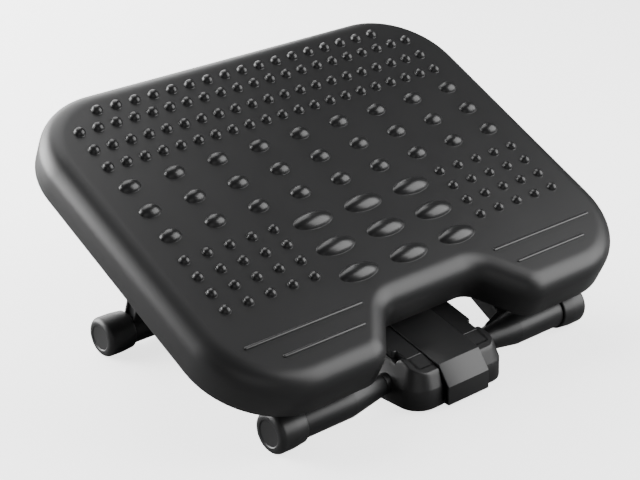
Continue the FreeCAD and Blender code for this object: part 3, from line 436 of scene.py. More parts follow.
def moulded_grain():
    """Fine spark-eroded grain of a moulding: a height, and a roughness that wanders a little."""
    group = bpy.data.node_groups.new("moulded_grain", "ShaderNodeTree")
    group_sockets(
        group,
        [("Scale", "NodeSocketFloat", 900.0), ("Roughness", "NodeSocketFloat", 0.5),
         ("Spread", "NodeSocketFloat", 0.06)],
        [("Height", "NodeSocketFloat"), ("Roughness", "NodeSocketFloat"), ("Patch", "NodeSocketFloat")])
    add, link = group.nodes.new, group.links.new
    source, sink = add("NodeGroupInput"), add("NodeGroupOutput")
    place = add("ShaderNodeTexCoord")
    grain = add("ShaderNodeTexNoise")
    grain.inputs["Detail"].default_value = 2.0
    grain.inputs["Roughness"].default_value = 0.6
    link(place.outputs["Object"], grain.inputs["Vector"])
    link(source.outputs["Scale"], grain.inputs["Scale"])
    link(grain.outputs["Fac"], sink.inputs["Height"])
    patch = add("ShaderNodeTexNoise")
    patch.inputs["Scale"].default_value = 14.0
    patch.inputs["Detail"].default_value = 4.0
    link(place.outputs["Object"], patch.inputs["Vector"])
    link(patch.outputs["Fac"], sink.inputs["Patch"])
    centred = maths(group, "SUBTRACT", patch.outputs["Fac"], 0.5)
    link(maths(group, "MULTIPLY_ADD", centred, source.outputs["Spread"], source.outputs["Roughness"]),
         sink.inputs["Roughness"])
    return group


def tinted():
    """A colour that lightens and darkens with a mask."""
    group = bpy.data.node_groups.new("tinted", "ShaderNodeTree")
    group_sockets(
        group,
        [("Mask", "NodeSocketFloat", 0.5), ("Colour", "NodeSocketColor", (0.02, 0.02, 0.02, 1)),
         ("Lift", "NodeSocketFloat", 0.1)],
        [("Colour", "NodeSocketColor")])
    add, link = group.nodes.new, group.links.new
    source, sink = add("NodeGroupInput"), add("NodeGroupOutput")
    centred = maths(group, "SUBTRACT", source.outputs["Mask"], 0.5)
    gain = maths(group, "MULTIPLY_ADD", centred, source.outputs["Lift"], 1.0)
    scaled = add("ShaderNodeVectorMath")
    scaled.operation = "SCALE"
    link(source.outputs["Colour"], scaled.inputs[0])
    link(gain, scaled.inputs["Scale"])
    link(scaled.outputs[0], sink.inputs["Colour"])
    return group


def moulding(name, tint, roughness, scale=900.0, depth=0.00002, spread=0.06, lift=0.25, sockets=None):
    """A moulded surface: grain in its normal, and a little change in colour and roughness."""
    material = bpy.data.materials.new(name)
    material.use_nodes = True
    tree = material.node_tree
    link = tree.links.new
    shader = tree.nodes["Principled BSDF"]
    grain = group_node(tree, "moulded_grain", Scale=scale, Roughness=roughness, Spread=spread)
    shade = group_node(tree, "tinted", Colour=(*tint, 1), Lift=lift)
    link(grain.outputs["Patch"], shade.inputs["Mask"])
    link(shade.outputs["Colour"], shader.inputs["Base Color"])
    link(grain.outputs["Roughness"], shader.inputs["Roughness"])
    bump = tree.nodes.new("ShaderNodeBump")
    bump.inputs["Distance"].default_value = depth
    bump.inputs["Strength"].default_value = 1.0
    link(grain.outputs["Height"], bump.inputs["Height"])
    link(bump.outputs["Normal"], shader.inputs["Normal"])
    for socket, number in (sockets or {}).items():
        shader.inputs[socket].default_value = number
    return material


MATERIALS = {}


def make_materials(colours):
    """The node groups, and every finish under a short name."""
    moulded_grain()
    tinted()
    plate, frame_tint = tuple(colours.plate), tuple(colours.frame)
    MATERIALS.update({
        "plate": moulding("plate_fine_grain", plate, 0.40, 1100.0, 0.00003),
        "bump": moulding("bump_polished", plate, 0.3, 500.0, 0.000004, spread=0.03),
        "frame": moulding("frame_satin", frame_tint, 0.42, 700.0, 0.00001),
        "pod": moulding("pod_satin", frame_tint, 0.4, 900.0, 0.00002),
        "rubber": moulding("cap_rubber", tuple(colours.rubber), 0.42, 600.0, 0.00002),
        "nylon": moulding("nylon_black", (0.03, 0.03, 0.031), 0.45, 600.0, 0.00001),
        "zinc": moulding("zinc_plate", tuple(colours.zinc), 0.3, 300.0, 0.000006, lift=0.3,
                         sockets={"Metallic": 1.0}),
        "wire": moulding("spring_wire", (0.42, 0.42, 0.43), 0.26, 500.0, 0.000004, sockets={"Metallic": 1.0}),
        "black_steel": moulding("painted_steel", (0.02, 0.02, 0.02), 0.36, 500.0, 0.000015,
                                sockets={"Coat Weight": 0.2}),
        "lining": moulding("brake_lining", (0.12, 0.075, 0.045), 0.8, 700.0, 0.0001, lift=0.8),
    })


def repaint(nodes, material):
    """Give CAD nodes that stay in sight their material."""
    for node in nodes:
        slots = frame["nodes"][node].data.materials
        slots.clear()
        slots.append(material)


# Pieces
def plate_outline(s, steps=18):
    """The plate's plan: a rounded rectangle with a notch in its front edge."""
    x, y = s.width / 2, s.depth / 2
    notch = -y + s.notch_depth
    return rounded([
        (-x, -y, s.corner), (-s.notch_mouth, -y, 0.027), (-s.notch_back, notch, 0.023),
        (s.notch_back, notch, 0.023), (s.notch_mouth, -y, 0.027), (x, -y, s.corner),
        (x, y, s.corner), (-x, y, s.corner)], steps=steps)


def quarter(radius, start, stop, steps):
    """(inset, drop) along a quarter round from the top to the side."""
    angle = np.linspace(start, stop, steps)
    return [(radius * (1 - math.sin(a)), radius * (1 - math.cos(a))) for a in angle]


class FOOTREST_OT_plate(bpy.types.Operator):
    """Build the moulded plate with its rolled edge, its notch and the ribs under it"""

    bl_idname = "footrest.plate"
    bl_label = "Plate"

    def execute(self, context):
        s = context.scene.footrest_plate
        top, bottom, r, wall = PLATE_LEVEL, PLATE_LEVEL - s.height, s.edge_round, s.wall
        lip = 1.0 * MM
        outer = [(inset, top - drop) for inset, drop in quarter(r, 0, math.pi / 2, 14)]
        inner = [(wall + inset, top - wall - drop) for inset, drop in quarter(r - wall, 0, math.pi / 2, 8)]
        profile = [(r + 2 * MM, top)] + outer
        profile += [(0, bottom + lip), (0.3 * lip, bottom + 0.3 * lip), (lip, bottom)]
        profile += [(wall - lip / 2, bottom), (wall, bottom + lip / 2)] + inner[::-1]
        profile.append((r + 2 * MM, top - wall))
        skin = swept(plate_outline(s), profile, on_plate)
        finish, body, slot = MATERIALS["plate"], "platform", "platform_plastic"
        piece("plate", skin, finish, body, ["platform_shell"], sharp=60)
        piece("plate_ribs", self.ribs(s), finish, body, ["platform_ribs"], bevel=0.4 * MM)
        return {"FINISHED"}

    def ribs(self, s):
        """Thin walls under the plate and its screw posts.

        A rib runs between the two places where its line crosses the plate's inside. That inside is the
        outline moved in by half the wall, and under the rolled edge by radius * (1 - sin) more at a drop of
        radius * (1 - cos).
        """
        points, normals = plate_outline(s, 40)
        radius = s.edge_round - s.wall / 2
        low = PLATE_LEVEL - s.wall - s.rib_depth
        levels = [(s.wall / 2 + inset, PLATE_LEVEL - s.wall / 2 - drop)
                  for inset, drop in quarter(radius, 0, math.pi / 2, 9)] + [(s.wall / 2, low)]
        shapes = []
        spans = [(0, i * s.rib_pitch_x) for i in range(-2, 3)]
        spans += [(1, i * s.rib_pitch_y) for i in range(-1, 2)]
        for axis, at in spans:
            rings = []
            for inset, level in levels:
                loop = points - normals * inset
                loop = np.concatenate([loop, loop[:1]])
                side = loop[:, axis] - at
                cross = np.nonzero(side[:-1] * side[1:] < 0)[0]
                share = side[cross] / (side[cross] - side[cross + 1])
                ends = loop[cross, 1 - axis] + share * (loop[cross + 1, 1 - axis] - loop[cross, 1 - axis])
                near, far = ends.min(), ends.max()
                half = 1.3 * MM - 0.3 * MM * (PLATE_LEVEL - level) / (PLATE_LEVEL - low)
                corners = np.array([(near, -half), (far, -half), (far, half), (near, half)])
                spots = np.stack([at + corners[:, 1], corners[:, 0]] if axis == 0 else
                                 [corners[:, 0], at + corners[:, 1]], 1)
                rings.append(on_plate(spots, level))
            shapes.append(ring_stack(rings))
        for x, y in screw_places():
            shapes.append(self.post(x, y, PLATE_LEVEL - s.wall / 2, low))
        return joined(shapes)

    def post(self, x, y, top, low):
        """A screw post: a circle carried down and turned in at its end."""
        radius, e = 5 * MM, 0.5 * MM
        angle = np.linspace(0, 2 * math.pi, 24, endpoint=False)
        circle = np.stack([np.cos(angle), np.sin(angle)], 1)
        profile = [(0, top), (0, low + e), (0.3 * e, low + 0.3 * e), (e, low), (0.6 * radius, low)]
        return swept((np.array([x, y]) + circle * radius, circle), profile, on_plate)


def screw_places():
    """Where the bracket screws go into the plate, in plate coordinates."""
    return [(side * (SCREW_MIDDLE_X + across * SCREW_HALF_X), along * SCREW_HALF_Y)
            for side in (-1, 1) for across in (-1, 1) for along in (-1, 1)]


def bump_rows():
    """Rows of bumps as (kind, distance of the row from the plate's middle in mm, places along it)."""
    rows = []
    for kind, distances, count, pitch in BUMP_ROWS:
        along = (np.arange(count) - (count - 1) / 2) * pitch * MM
        if kind == "side":
            along = np.concatenate([along - SIDE_GROUP_X * MM, along + SIDE_GROUP_X * MM])
        rows += [(kind, y, along) for y in distances]
    return rows


def bump_shape(half_x, half_y, height, blend, around, rings):
    """A cap of a ball that grows softly out of the plate.

    With t from 0 at the middle to 1 at the edge, the cap's height is that of a ball through its rim. The
    shape is the smooth maximum of cap and plate, max(a, b) + k (1 - |a - b| / k)^2 / 4 within k of each
    other. The last ring dips under the plate.
    """
    reach = 1 + 1.3 * blend / min(half_x, half_y)
    t = reach * np.sin(np.linspace(0, math.pi / 2, rings + 1))
    ball = (half_y ** 2 + height ** 2) / (2 * height)
    span = np.sqrt(np.maximum(ball ** 2 - (t * half_y) ** 2, 0))
    cap = span - (ball - height)
    near = np.maximum(blend - np.abs(cap), 0) / blend
    z = np.maximum(cap, 0) + near ** 2 * blend / 4
    z[-1] = -0.02 * MM
    angle = np.linspace(0, 2 * math.pi, around, endpoint=False)
    x = t[:, None] * half_x * np.cos(angle)
    y = t[:, None] * half_y * np.sin(angle)
    return np.stack([x, y, np.broadcast_to(z[:, None], x.shape)], -1)


def bump_field(kind_rows, shape):
    """One shape repeated at every place of its rows, as a single mesh."""
    rings, around = shape.shape[:2]
    spots = np.array([(x, y * MM) for y, places in kind_rows for x in places])
    points = shape[None] + np.concatenate([spots, np.zeros((len(spots), 1))], 1)[:, None, None]
    placed = on_plate(points[..., :2], PLATE_LEVEL + points[..., 2])
    quads = np.array(grid_faces(rings, around))
    faces = (quads[None] + (np.arange(len(spots)) * rings * around)[:, None, None]).reshape(-1, 4)
    return placed.reshape(-1, 3), faces[:, ::-1].tolist()


class FOOTREST_OT_bumps(bpy.types.Operator):
    """Build the polished massage bumps and the raised lines on the plate"""

    bl_idname = "footrest.bumps"
    bl_label = "Bumps and lines"

    def execute(self, context):
        s = context.scene.footrest_bumps
        kinds = {
            "dome": (s.dome_radius, s.dome_radius, s.dome_height, 20, 8),
            "side": (s.side_radius, s.side_radius, s.side_height, 20, 8),
            "oval": (s.oval_length / 2, s.oval_width / 2, s.oval_height, 36, 12),
            "large": (s.large_length / 2, s.large_width / 2, s.large_height, 44, 14),
        }
        for kind, (half_x, half_y, height, around, rings) in kinds.items():
            shape = bump_shape(half_x, half_y, height, s.blend, around, rings)
            rows = [(y, places) for k, y, places in bump_rows() if k == kind]
            piece("bumps_%s" % kind, bump_field(rows, shape), MATERIALS["bump"], "platform",
                  sharp=80, turn_out=False)
        piece("raised_lines", self.lines(s), MATERIALS["bump"], "platform", sharp=80)
        return {"FINISHED"}

    def lines(self, s):
        """Half round bars with ball ends: the distance to the bar's middle line gives a circle across it."""
        half = s.line_width / 2
        shapes = []
        angle = np.linspace(0, math.pi / 2, 7)
        around = np.linspace(0, 2 * math.pi, 16, endpoint=False)
        for y, inner, outer in LINES:
            along = np.concatenate([inner * MM - half * np.cos(angle), outer * MM + half * np.sin(angle)])
            size = np.concatenate([np.sin(angle), np.cos(angle)]) * half
            across = y * MM + size[:, None] * np.cos(around)
            up = PLATE_LEVEL + s.line_height - half + size[:, None] * np.sin(around)
            spots = np.stack([np.broadcast_to(along[:, None], across.shape), across], -1)
            shapes.append((on_plate(spots, up).reshape(-1, 3), grid_faces(len(along), len(around))))
        return mirrored(joined(shapes))


def along_bar(bar, profile, segments):
    """A lathe shape around a bar."""
    return lathe(profile, (0, bar[1], bar[2]), segments)


def soft_profile(corners, steps=6):
    """A lathe profile whose corners carry a radius."""
    return rounded(corners, closed=False, steps=steps)[0]


def drum(start, end, radius, bore, *soft):
    """The profile of a drum with a bore, and a radius on each of its two outer edges."""
    return soft_profile([(start, bore), (start, radius, soft[0]), (end, radius, soft[-1]), (end, bore)])


def arm_shape(path, half, boss, low_x, high_x, recess=(2.2 * MM, 2.2 * MM), rim=3.2 * MM):
    """A flat moulded arm along a path of (y, z) points that ends in a round boss.

    Its outline keeps half on each side of the path, with mitred corners, and is carried along x with rounded
    edges. Each face steps down by its recess inside a rim, which leaves the web between two flanges.
    """
    path = np.array(path, float)
    ways = np.diff(path, axis=0)
    ways /= np.linalg.norm(ways, axis=1)[:, None]
    sides = np.stack([ways[:, 1], -ways[:, 0]], 1)
    right = [path[0] + sides[0] * half]
    for i in range(1, len(path) - 1):
        bisector = sides[i - 1] + sides[i]
        right.append(path[i] + bisector * half / (1 + sides[i - 1] @ sides[i]))
    left = [2 * path[i] - spot for i, spot in enumerate(right)]
    end, way, side = path[-1], ways[-1], sides[-1]
    neck, wide = 1.9 * boss, 0.95 * boss
    right += [end - way * neck + side * half, end - way * wide + side * boss, end + way * boss + side * boss]
    left += [end - way * neck - side * half, end - way * wide - side * boss, end + way * boss - side * boss]
    radii = [0.5 * MM] + [12 * MM] * (len(path) - 2) + [7 * MM, 7 * MM, boss - 1e-5]
    corners = [(*spot, r) for spot, r in zip(right, radii)]
    corners += [(*spot, r) for spot, r in zip(left[::-1], radii[::-1])]
    outline = rounded(corners, steps=12)
    e = 0.9 * MM
    edge = [(e, 0), (0.3 * e, 0.3 * e), (0, e)]
    low, high = ([(rim + e, deep), (rim, deep - 0.4 * MM), (rim - 0.4 * MM, 0.3 * MM), (rim - 0.9 * MM, 0)]
                 if deep else [(rim, 0)] for deep in recess)
    profile = [(inset, low_x + depth) for inset, depth in low + edge]
    profile += [(inset, high_x - depth) for inset, depth in (high + edge)[::-1]]
    return swept(outline, profile, from_side)


class FOOTREST_OT_caps(bpy.types.Operator):
    """Build the four rubber caps the footrest stands on"""

    bl_idname = "footrest.caps"
    bl_label = "Foot caps"

    def execute(self, context):
        s = context.scene.footrest_frame
        around = context.scene.footrest_stage.around
        bore, dish = NECK_RADIUS + 0.1 * MM, 0.8 * MM
        for end, bar, body in (("front", FRONT_BAR, "front_leg"), ("rear", REAR_BAR, "rear_leg")):
            for side in ("left", "right"):
                node = "%s_foot_cap_%s" % (end, side)
                low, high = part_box(node)
                face = max(abs(low[0]), abs(high[0]))
                back = min(abs(low[0]), abs(high[0]))
                profile = soft_profile([
                    (back + 2 * MM, bore), (back, bore, 0.4 * MM), (back, s.cap_neck, 1.3 * MM),
                    (back + 12 * MM, s.cap, 20 * MM), (face, s.cap, 5 * MM),
                    (face, s.cap_dish + dish, dish), (face - dish, s.cap_dish, dish), (face - dish, 0.0)],
                    steps=9)
                points, faces = along_bar(bar, profile, around)
                points[:, 2] = np.maximum(points[:, 2], 0.0)
                shape = (points, faces) if side == "right" else flipped((points, faces))
                piece(node.replace("foot_cap", "rubber_cap"), shape, MATERIALS["rubber"], body,
                      [node], sharp=50)
        return {"FINISHED"}


class FOOTREST_OT_legs(bpy.types.Operator):
    """Build the moulded legs: sleeves on the crossbars, arms up to the axle and the middle yoke"""

    bl_idname = "footrest.legs"
    bl_label = "Legs"

    def execute(self, context):
        s = context.scene.footrest_frame
        around = context.scene.footrest_stage.around
        front = self.front(s, around)
        rear = self.rear(s, around)
        for name, shape, body in (("front_leg", front, "front_leg"), ("rear_leg", rear, "rear_leg")):
            for side, made in (("right", shape), ("left", flipped(shape))):
                node = "%s_%s" % (name, side)
                piece(node + "_moulding", made, MATERIALS["frame"], body, [node], sharp=40)
        piece("rear_yoke_moulding", self.yoke(s, around), MATERIALS["frame"], "rear_leg",
              ["rear_yoke"], sharp=40)
        return {"FINISHED"}

    def front(self, s, around):
        """Cone and sleeve turned about the bar, with the arm and a web in the corner between them."""
        low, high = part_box("front_leg_right")
        inner, wide, end = low[0], 96 * MM, SLEEVE_END
        profile = soft_profile([
            (inner, s.bore), (inner, 0.009, 0.6 * MM), (wide, s.tube, 4 * MM), (end, s.tube, 0.8 * MM),
            (end, NECK_RADIUS), (high[0], NECK_RADIUS), (high[0], s.bore)])
        arm = arm_shape([FRONT_BAR[1:], AXLE[1:]], s.arm / 2, s.boss, low_x=90 * MM, high_x=116 * MM,
                        recess=(0, 2.2 * MM))
        return joined([along_bar(FRONT_BAR, profile, around), arm, self.web(s)])

    def web(self, s):
        """The corner web, as thick as the arm. Its corners are (x, distance from the bar towards the axle)."""
        way = (AXLE - FRONT_BAR)[1:]
        way = way / np.linalg.norm(way)
        across = np.array([-way[1], way[0]])
        half = s.arm / 2
        outline = rounded([
            (69 * MM, 0, 0.2 * MM), (92 * MM, 0, 0.2 * MM), (92 * MM, 16.5 * MM, 0.2 * MM),
            (90 * MM, 16.5 * MM, 0.5 * MM), (69 * MM, 9.9 * MM, 2 * MM)], steps=8)

        def place(spots, level):
            plane = FRONT_BAR[1:] + spots[:, 1:] * way + level * across
            return np.concatenate([spots[:, :1], plane], 1)

        e = 1.2 * MM
        edge = [(e, -half), (e / 4, -half + e / 4), (0, -half + e)]
        return swept(outline, edge + [(inset, -level) for inset, level in edge[::-1]], place)

    def rear(self, s, around):
        """Sleeve turned about the rear bar and a bent arm up to the axle."""
        low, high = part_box("rear_leg_right")
        inner, end = low[0], SLEEVE_END
        profile = soft_profile([
            (inner, s.bore), (inner, s.rear_tube, 0.8 * MM), (end, s.rear_tube, 0.8 * MM), (end, NECK_RADIUS),
            (high[0], NECK_RADIUS), (high[0], s.bore)])
        elbow = REAR_BAR[1:] + np.array([-14.0, 36.0]) * MM
        arm = arm_shape([REAR_BAR[1:], elbow, AXLE[1:]], s.arm / 2, s.boss, low_x=121 * MM, high_x=147 * MM)
        return joined([along_bar(REAR_BAR, profile, around), arm])

    def yoke(self, s, around):
        """The middle sleeve with a collar, and the broad arm that carries the brake's boss."""
        half, collar, boss = 99.7 * MM, 14.5 * MM, 15 * MM
        profile = soft_profile([
            (-half, s.bore), (-half, s.yoke_tube, 0.6 * MM), (-collar, s.yoke_tube, 1 * MM),
            (-collar, s.rear_tube, 0.8 * MM), (collar, s.rear_tube, 0.8 * MM),
            (collar, s.yoke_tube, 1 * MM), (half, s.yoke_tube, 0.6 * MM), (half, s.bore)])
        arm = arm_shape([REAR_BAR[1:], AXLE[1:]], 9 * MM, boss, low_x=-9 * MM, high_x=9 * MM)
        round_end = along_bar(AXLE, drum(-collar, collar, boss, s.bore, 0.8 * MM), around)
        return joined([along_bar(REAR_BAR, profile, around), arm, round_end])


class FOOTREST_OT_pod(bpy.types.Operator):
    """Build the pod on the front bar, its lid and the pedal between its cheeks"""

    bl_idname = "footrest.pod"
    bl_label = "Pod and pedal"

    def execute(self, context):
        s = context.scene.footrest_pod
        around = context.scene.footrest_stage.around
        body = joined([mirrored(self.cheek(s)), self.tray(s), self.boss(s, around)])
        finish, slot = MATERIALS["pod"], "pod_plastic"
        piece("pod_body", body, finish, "front_leg", ["pod_housing"], sharp=30)
        piece("pod_lid", self.lid(s), finish, "front_leg", ["pod_cover"], sharp=30, bevel=0.8 * MM)
        piece("pedal", self.pedal(s, around), finish, "pedal", ["foot_pedal"], sharp=30)
        return {"FINISHED"}

    def top_at(self, s, y, under=0.0):
        """Height of the sloping top at y."""
        return s.top + (s.front + y) * math.tan(s.slope) - under

    def cheek(self, s):
        """One cheek: upright up to the crease, leaning in above it and ending in the sloping top.

        Its plan has columns along the front, round the corner and back along the outside, and rows further
        and further in from there, close together where the height bends. With d the distance in from the
        crease, the height is the smooth minimum of crease + d / tan(lean) and the top. The smooth minimum
        of a and b within k is b + (a - b) h - k h (1 - h), with h = 0.5 + (b - a) / (2 k) held between 0
        and 1. The top falls to the seat of the lid at the rear.
        """
        inner = s.pedal_half_width + s.cheek_gap
        out, front, radius = s.half_width + s.flare, -s.front - s.front_flare, s.front_round
        deepest = out - inner
        bend, step = 9.2 * MM, out - s.notch
        inset = np.concatenate([
            np.linspace(0, 5 * MM, 11), np.linspace(5.3 * MM, bend, 14), np.linspace(10 * MM, 15 * MM, 6),
            [step, step + 0.3 * MM], np.linspace(step + 2 * MM, deepest, 6)])[:, None]
        ahead = np.minimum(inset, bend + (inset - bend) * 0.5)
        curve = radius * np.maximum(1 - inset / (15 * MM), 0) + 0.01 * MM
        share = np.linspace(0, 1, 10)[None, :]
        turn = np.linspace(0, math.pi / 2, 22)[None, 1:]
        at_front = np.stack([inner + (out - inset - curve - inner) * share, front + ahead + 0 * share], -1)
        at_corner = np.stack([out - inset - curve + curve * np.sin(turn),
                              front + ahead + curve - curve * np.cos(turn)], -1)
        stops = np.concatenate([
            [-136.5, -135.2], np.linspace(-134.6, -133.3, 3), np.linspace(-133.0, -126.5, 12),
            [-124, -120, -110, -97, -84]]) * MM
        at_side = np.stack(np.broadcast_arrays(out - inset, stops[None, :]), -1)
        plan = np.concatenate([at_front, at_corner, at_side], 1)
        x, y = plan[..., 0], plan[..., 1]
        nearest = np.minimum(y - front, out - x)
        round_off = radius - np.hypot(x - out + radius, y - front - radius)
        nearest = np.where((x > out - radius) & (y < front + radius), round_off, nearest)
        wall = s.crease + np.maximum(nearest, 0) / math.tan(s.lean)
        lower, soft = self.top_at(s, y, self.cheek_drop(y) + self.fall(x, y)), 2.6 * MM
        mix = np.clip(0.5 + (lower - wall) / (2 * soft), 0, 1)
        height = lower + (wall - lower) * mix - soft * mix * (1 - mix)
        height[0] = s.crease
        upper = np.concatenate([plan, height[..., None]], -1)
        skirt = []
        for back, level in ((2.2, 0.0), (1.2, 0.15), (0.4, 0.7), (0.0, 2.0)):
            ring = plan[0] + (plan[1] - plan[0]) / (inset[1] - inset[0]) * back * MM
            skirt.append(from_above(ring, s.bottom + level * MM))
        grid = np.concatenate([skirt, upper])
        rows, columns = grid.shape[:2]
        points = np.concatenate([grid.reshape(-1, 3), [(inner, POD_REAR, s.bottom)]])
        faces = grid_faces(rows, columns, wrap=False)
        corner = rows * columns
        start = [j * columns for j in range(rows)]
        end = [j * columns + columns - 1 for j in range(rows)]
        last = [(rows - 1) * columns + i for i in range(columns)]
        faces.append(start + last[1:] + [corner])
        faces.append(end[::-1] + [corner])
        faces.append(list(range(columns)) + [corner])
        return points, faces

    def cheek_drop(self, y):
        """How far a cheek's top lies below the pedal's: 3 mm at the front edge, 1.2 mm at the lid."""
        return 1.2 * MM + 1.8 * MM * np.clip((-133 * MM - y) / (19 * MM), 0, 1)

    def fall(self, x, y):
        """Step from a cheek's top to the lid's seat: sharp beside the pedal, a quarter round in the notch."""
        sharp = np.clip((y - LID_FRONT) / (0.3 * MM), 0, 1)
        share = np.clip((y + 134.6 * MM) / (8 * MM), 0, 1)
        notch = bpy.context.scene.footrest_pod.notch
        return 6.3 * MM * np.where(x < notch - 0.1 * MM, sharp, 1 - np.sqrt(1 - share ** 2))

    def tray(self, s):
        """The floor between the cheeks."""
        x = s.pedal_half_width + s.pedal_gap + 2 * MM
        y0, y1 = -s.front - s.front_flare + 1 * MM, POD_REAR
        outline = rounded([(-x, y0, 0), (x, y0, 0), (x, y1, 0), (-x, y1, 0)])
        return swept(outline, [(0, s.bottom + 0.5 * MM), (0, s.bottom + 3.5 * MM)], from_above)

    def boss(self, s, around):
        """The round sleeve through which the bar passes."""
        half, radius = 57 * MM, 9 * MM
        inner = s.pedal_half_width + s.pedal_gap + 1 * MM
        return mirrored(along_bar(FRONT_BAR, drum(inner, half, radius, BAR_BORE, 0.5 * MM, 0.2 * MM), around))

    def lid(self, s):
        """A plate over the rear of the pod, open in the middle and cut back at its outer corners."""
        gap = s.pedal_half_width + s.cheek_gap
        x, y0, y1 = s.half_width - 1 * MM, LID_FRONT + 0.1 * MM, POD_REAR
        notch_x, notch_y, soft = s.notch, -121 * MM, 0.8 * MM
        slot = FRONT_BAR[1] + 32 * MM
        outline = rounded([
            (-x, notch_y, 2.5 * MM), (-notch_x, notch_y, 1 * MM), (-notch_x, y0, soft), (-gap, y0, soft),
            (-gap, slot, soft), (gap, slot, soft), (gap, y0, soft), (notch_x, y0, soft),
            (notch_x, notch_y, 1 * MM), (x, notch_y, 2.5 * MM), (x, y1, 2 * MM), (-x, y1, 2 * MM)], steps=12)

        def place(spots, under):
            return np.concatenate([spots, self.top_at(s, spots[:, 1], under)[:, None]], 1)

        top, bottom, e = 1.2 * MM, 7.4 * MM, 0.5 * MM
        edge = [(1.4 * e, top), (e, top), (0.3 * e, top + 0.3 * e), (0, top + e), (0, bottom)]
        return swept(outline, edge, place)

    def pedal(self, s, around):
        """A bent skin across the pod, with side walls, two ribs, a boss on the bar and the rod pin's eye."""
        nose, rear = FRONT_BAR[1] - 45 * MM, FRONT_BAR[1] + 30 * MM
        t = 3.6 * MM
        half, low, wall_rear = s.pedal_half_width, 3.2 * MM, -128 * MM
        skin = rounded([
            (nose, low, 0.8 * MM), (nose + t, low, 0.8 * MM), (nose + t, s.crease - 0.7 * MM, 1 * MM),
            (-s.front + 2 * MM, s.top - t, 1 * MM), (rear, self.top_at(s, rear, t), 0.8 * MM),
            (rear, self.top_at(s, rear), 0.8 * MM), (-s.front, s.top, 1.4 * MM),
            (nose, s.crease + 0.5 * MM, 0.5 * MM)], steps=8)
        e = 0.9 * MM
        edges = [(1.3 * e, -half), (e, -half), (0.3 * e, -half + 0.3 * e), (0, -half + e)]
        edges += [(inset, -level) for inset, level in edges[::-1]]
        shapes = [swept(skin, edges, from_side)]
        pin = middle("pedal_rod_pin")
        rod_rib = (-19.2 * MM, -16.2 * MM)
        for left in (rod_rib[0], -rod_rib[1]):
            rib = rounded([
                (nose + t - 1 * MM, s.crease - 5 * MM, 0), (FRONT_BAR[1], FRONT_BAR[2] - 4 * MM, 0),
                (FRONT_BAR[1] + 8.2 * MM, FRONT_BAR[2] - 4 * MM, 0), (pin[1] + 3 * MM, pin[2] - 3 * MM, 0),
                (rear - 3 * MM, self.top_at(s, rear - 3 * MM, t - 0.5 * MM), 0),
                (-s.front + 4 * MM, s.top - t + 1.2 * MM, 0), (nose + t - 1 * MM, s.crease - 1.2 * MM, 0)])
            shapes.append(swept(rib, [(0, left), (0, left + 3 * MM)], from_side))
        for left in (-half + 0.3 * MM, half - 2.3 * MM):
            cheek_side = rounded([
                (nose + 1 * MM, low + 0.4 * MM, 0), (nose + 5 * MM, low + 0.4 * MM, 0),
                (nose + 5 * MM, 12 * MM, 0), (wall_rear, 12 * MM, 0),
                (wall_rear, self.top_at(s, wall_rear, 1 * MM), 0),
                (-s.front + 0.4 * MM, s.top - 1 * MM, 0), (nose + 1 * MM, s.crease, 0)])
            shapes.append(swept(cheek_side, [(0, left), (0, left + 2 * MM)], from_side))
        reach = half - 0.2 * MM
        shapes.append(along_bar(FRONT_BAR, drum(-reach, reach, 10.2 * MM, BAR_BORE, 0.6 * MM), around))
        shapes.append(along_bar(pin, drum(*rod_rib, 5 * MM, PIN_BORE, 0.4 * MM), 32))
        return joined(shapes)


class FOOTREST_OT_fittings(bpy.types.Operator):
    """Give the steel and nylon parts around the axle their finishes"""

    bl_idname = "footrest.fittings"
    bl_label = "Fittings"

    def execute(self, context):
        repaint(["axle_bracket_left", "axle_bracket_right"], MATERIALS["frame"])
        repaint(["axle_bush_left", "axle_bush_right", "leg_washers", "axle_spacers", "axle_end_caps"],
                MATERIALS["nylon"])
        repaint(["bracket_screws", "pod_screws", "spine_rivet", "front_bar_core", "rear_bar_core",
                 "main_axle", "spine_spacer", "brake_steel_discs", "pedal_rod_pin"], MATERIALS["zinc"])
        repaint(["spine_plate_left", "spine_plate_right", "release_rod", "brake_lever"],
                MATERIALS["black_steel"])
        repaint(["brake_fibre_discs"], MATERIALS["lining"])
        repaint(["brake_spring", "pedal_spring"], MATERIALS["wire"])
        return {"FINISHED"}


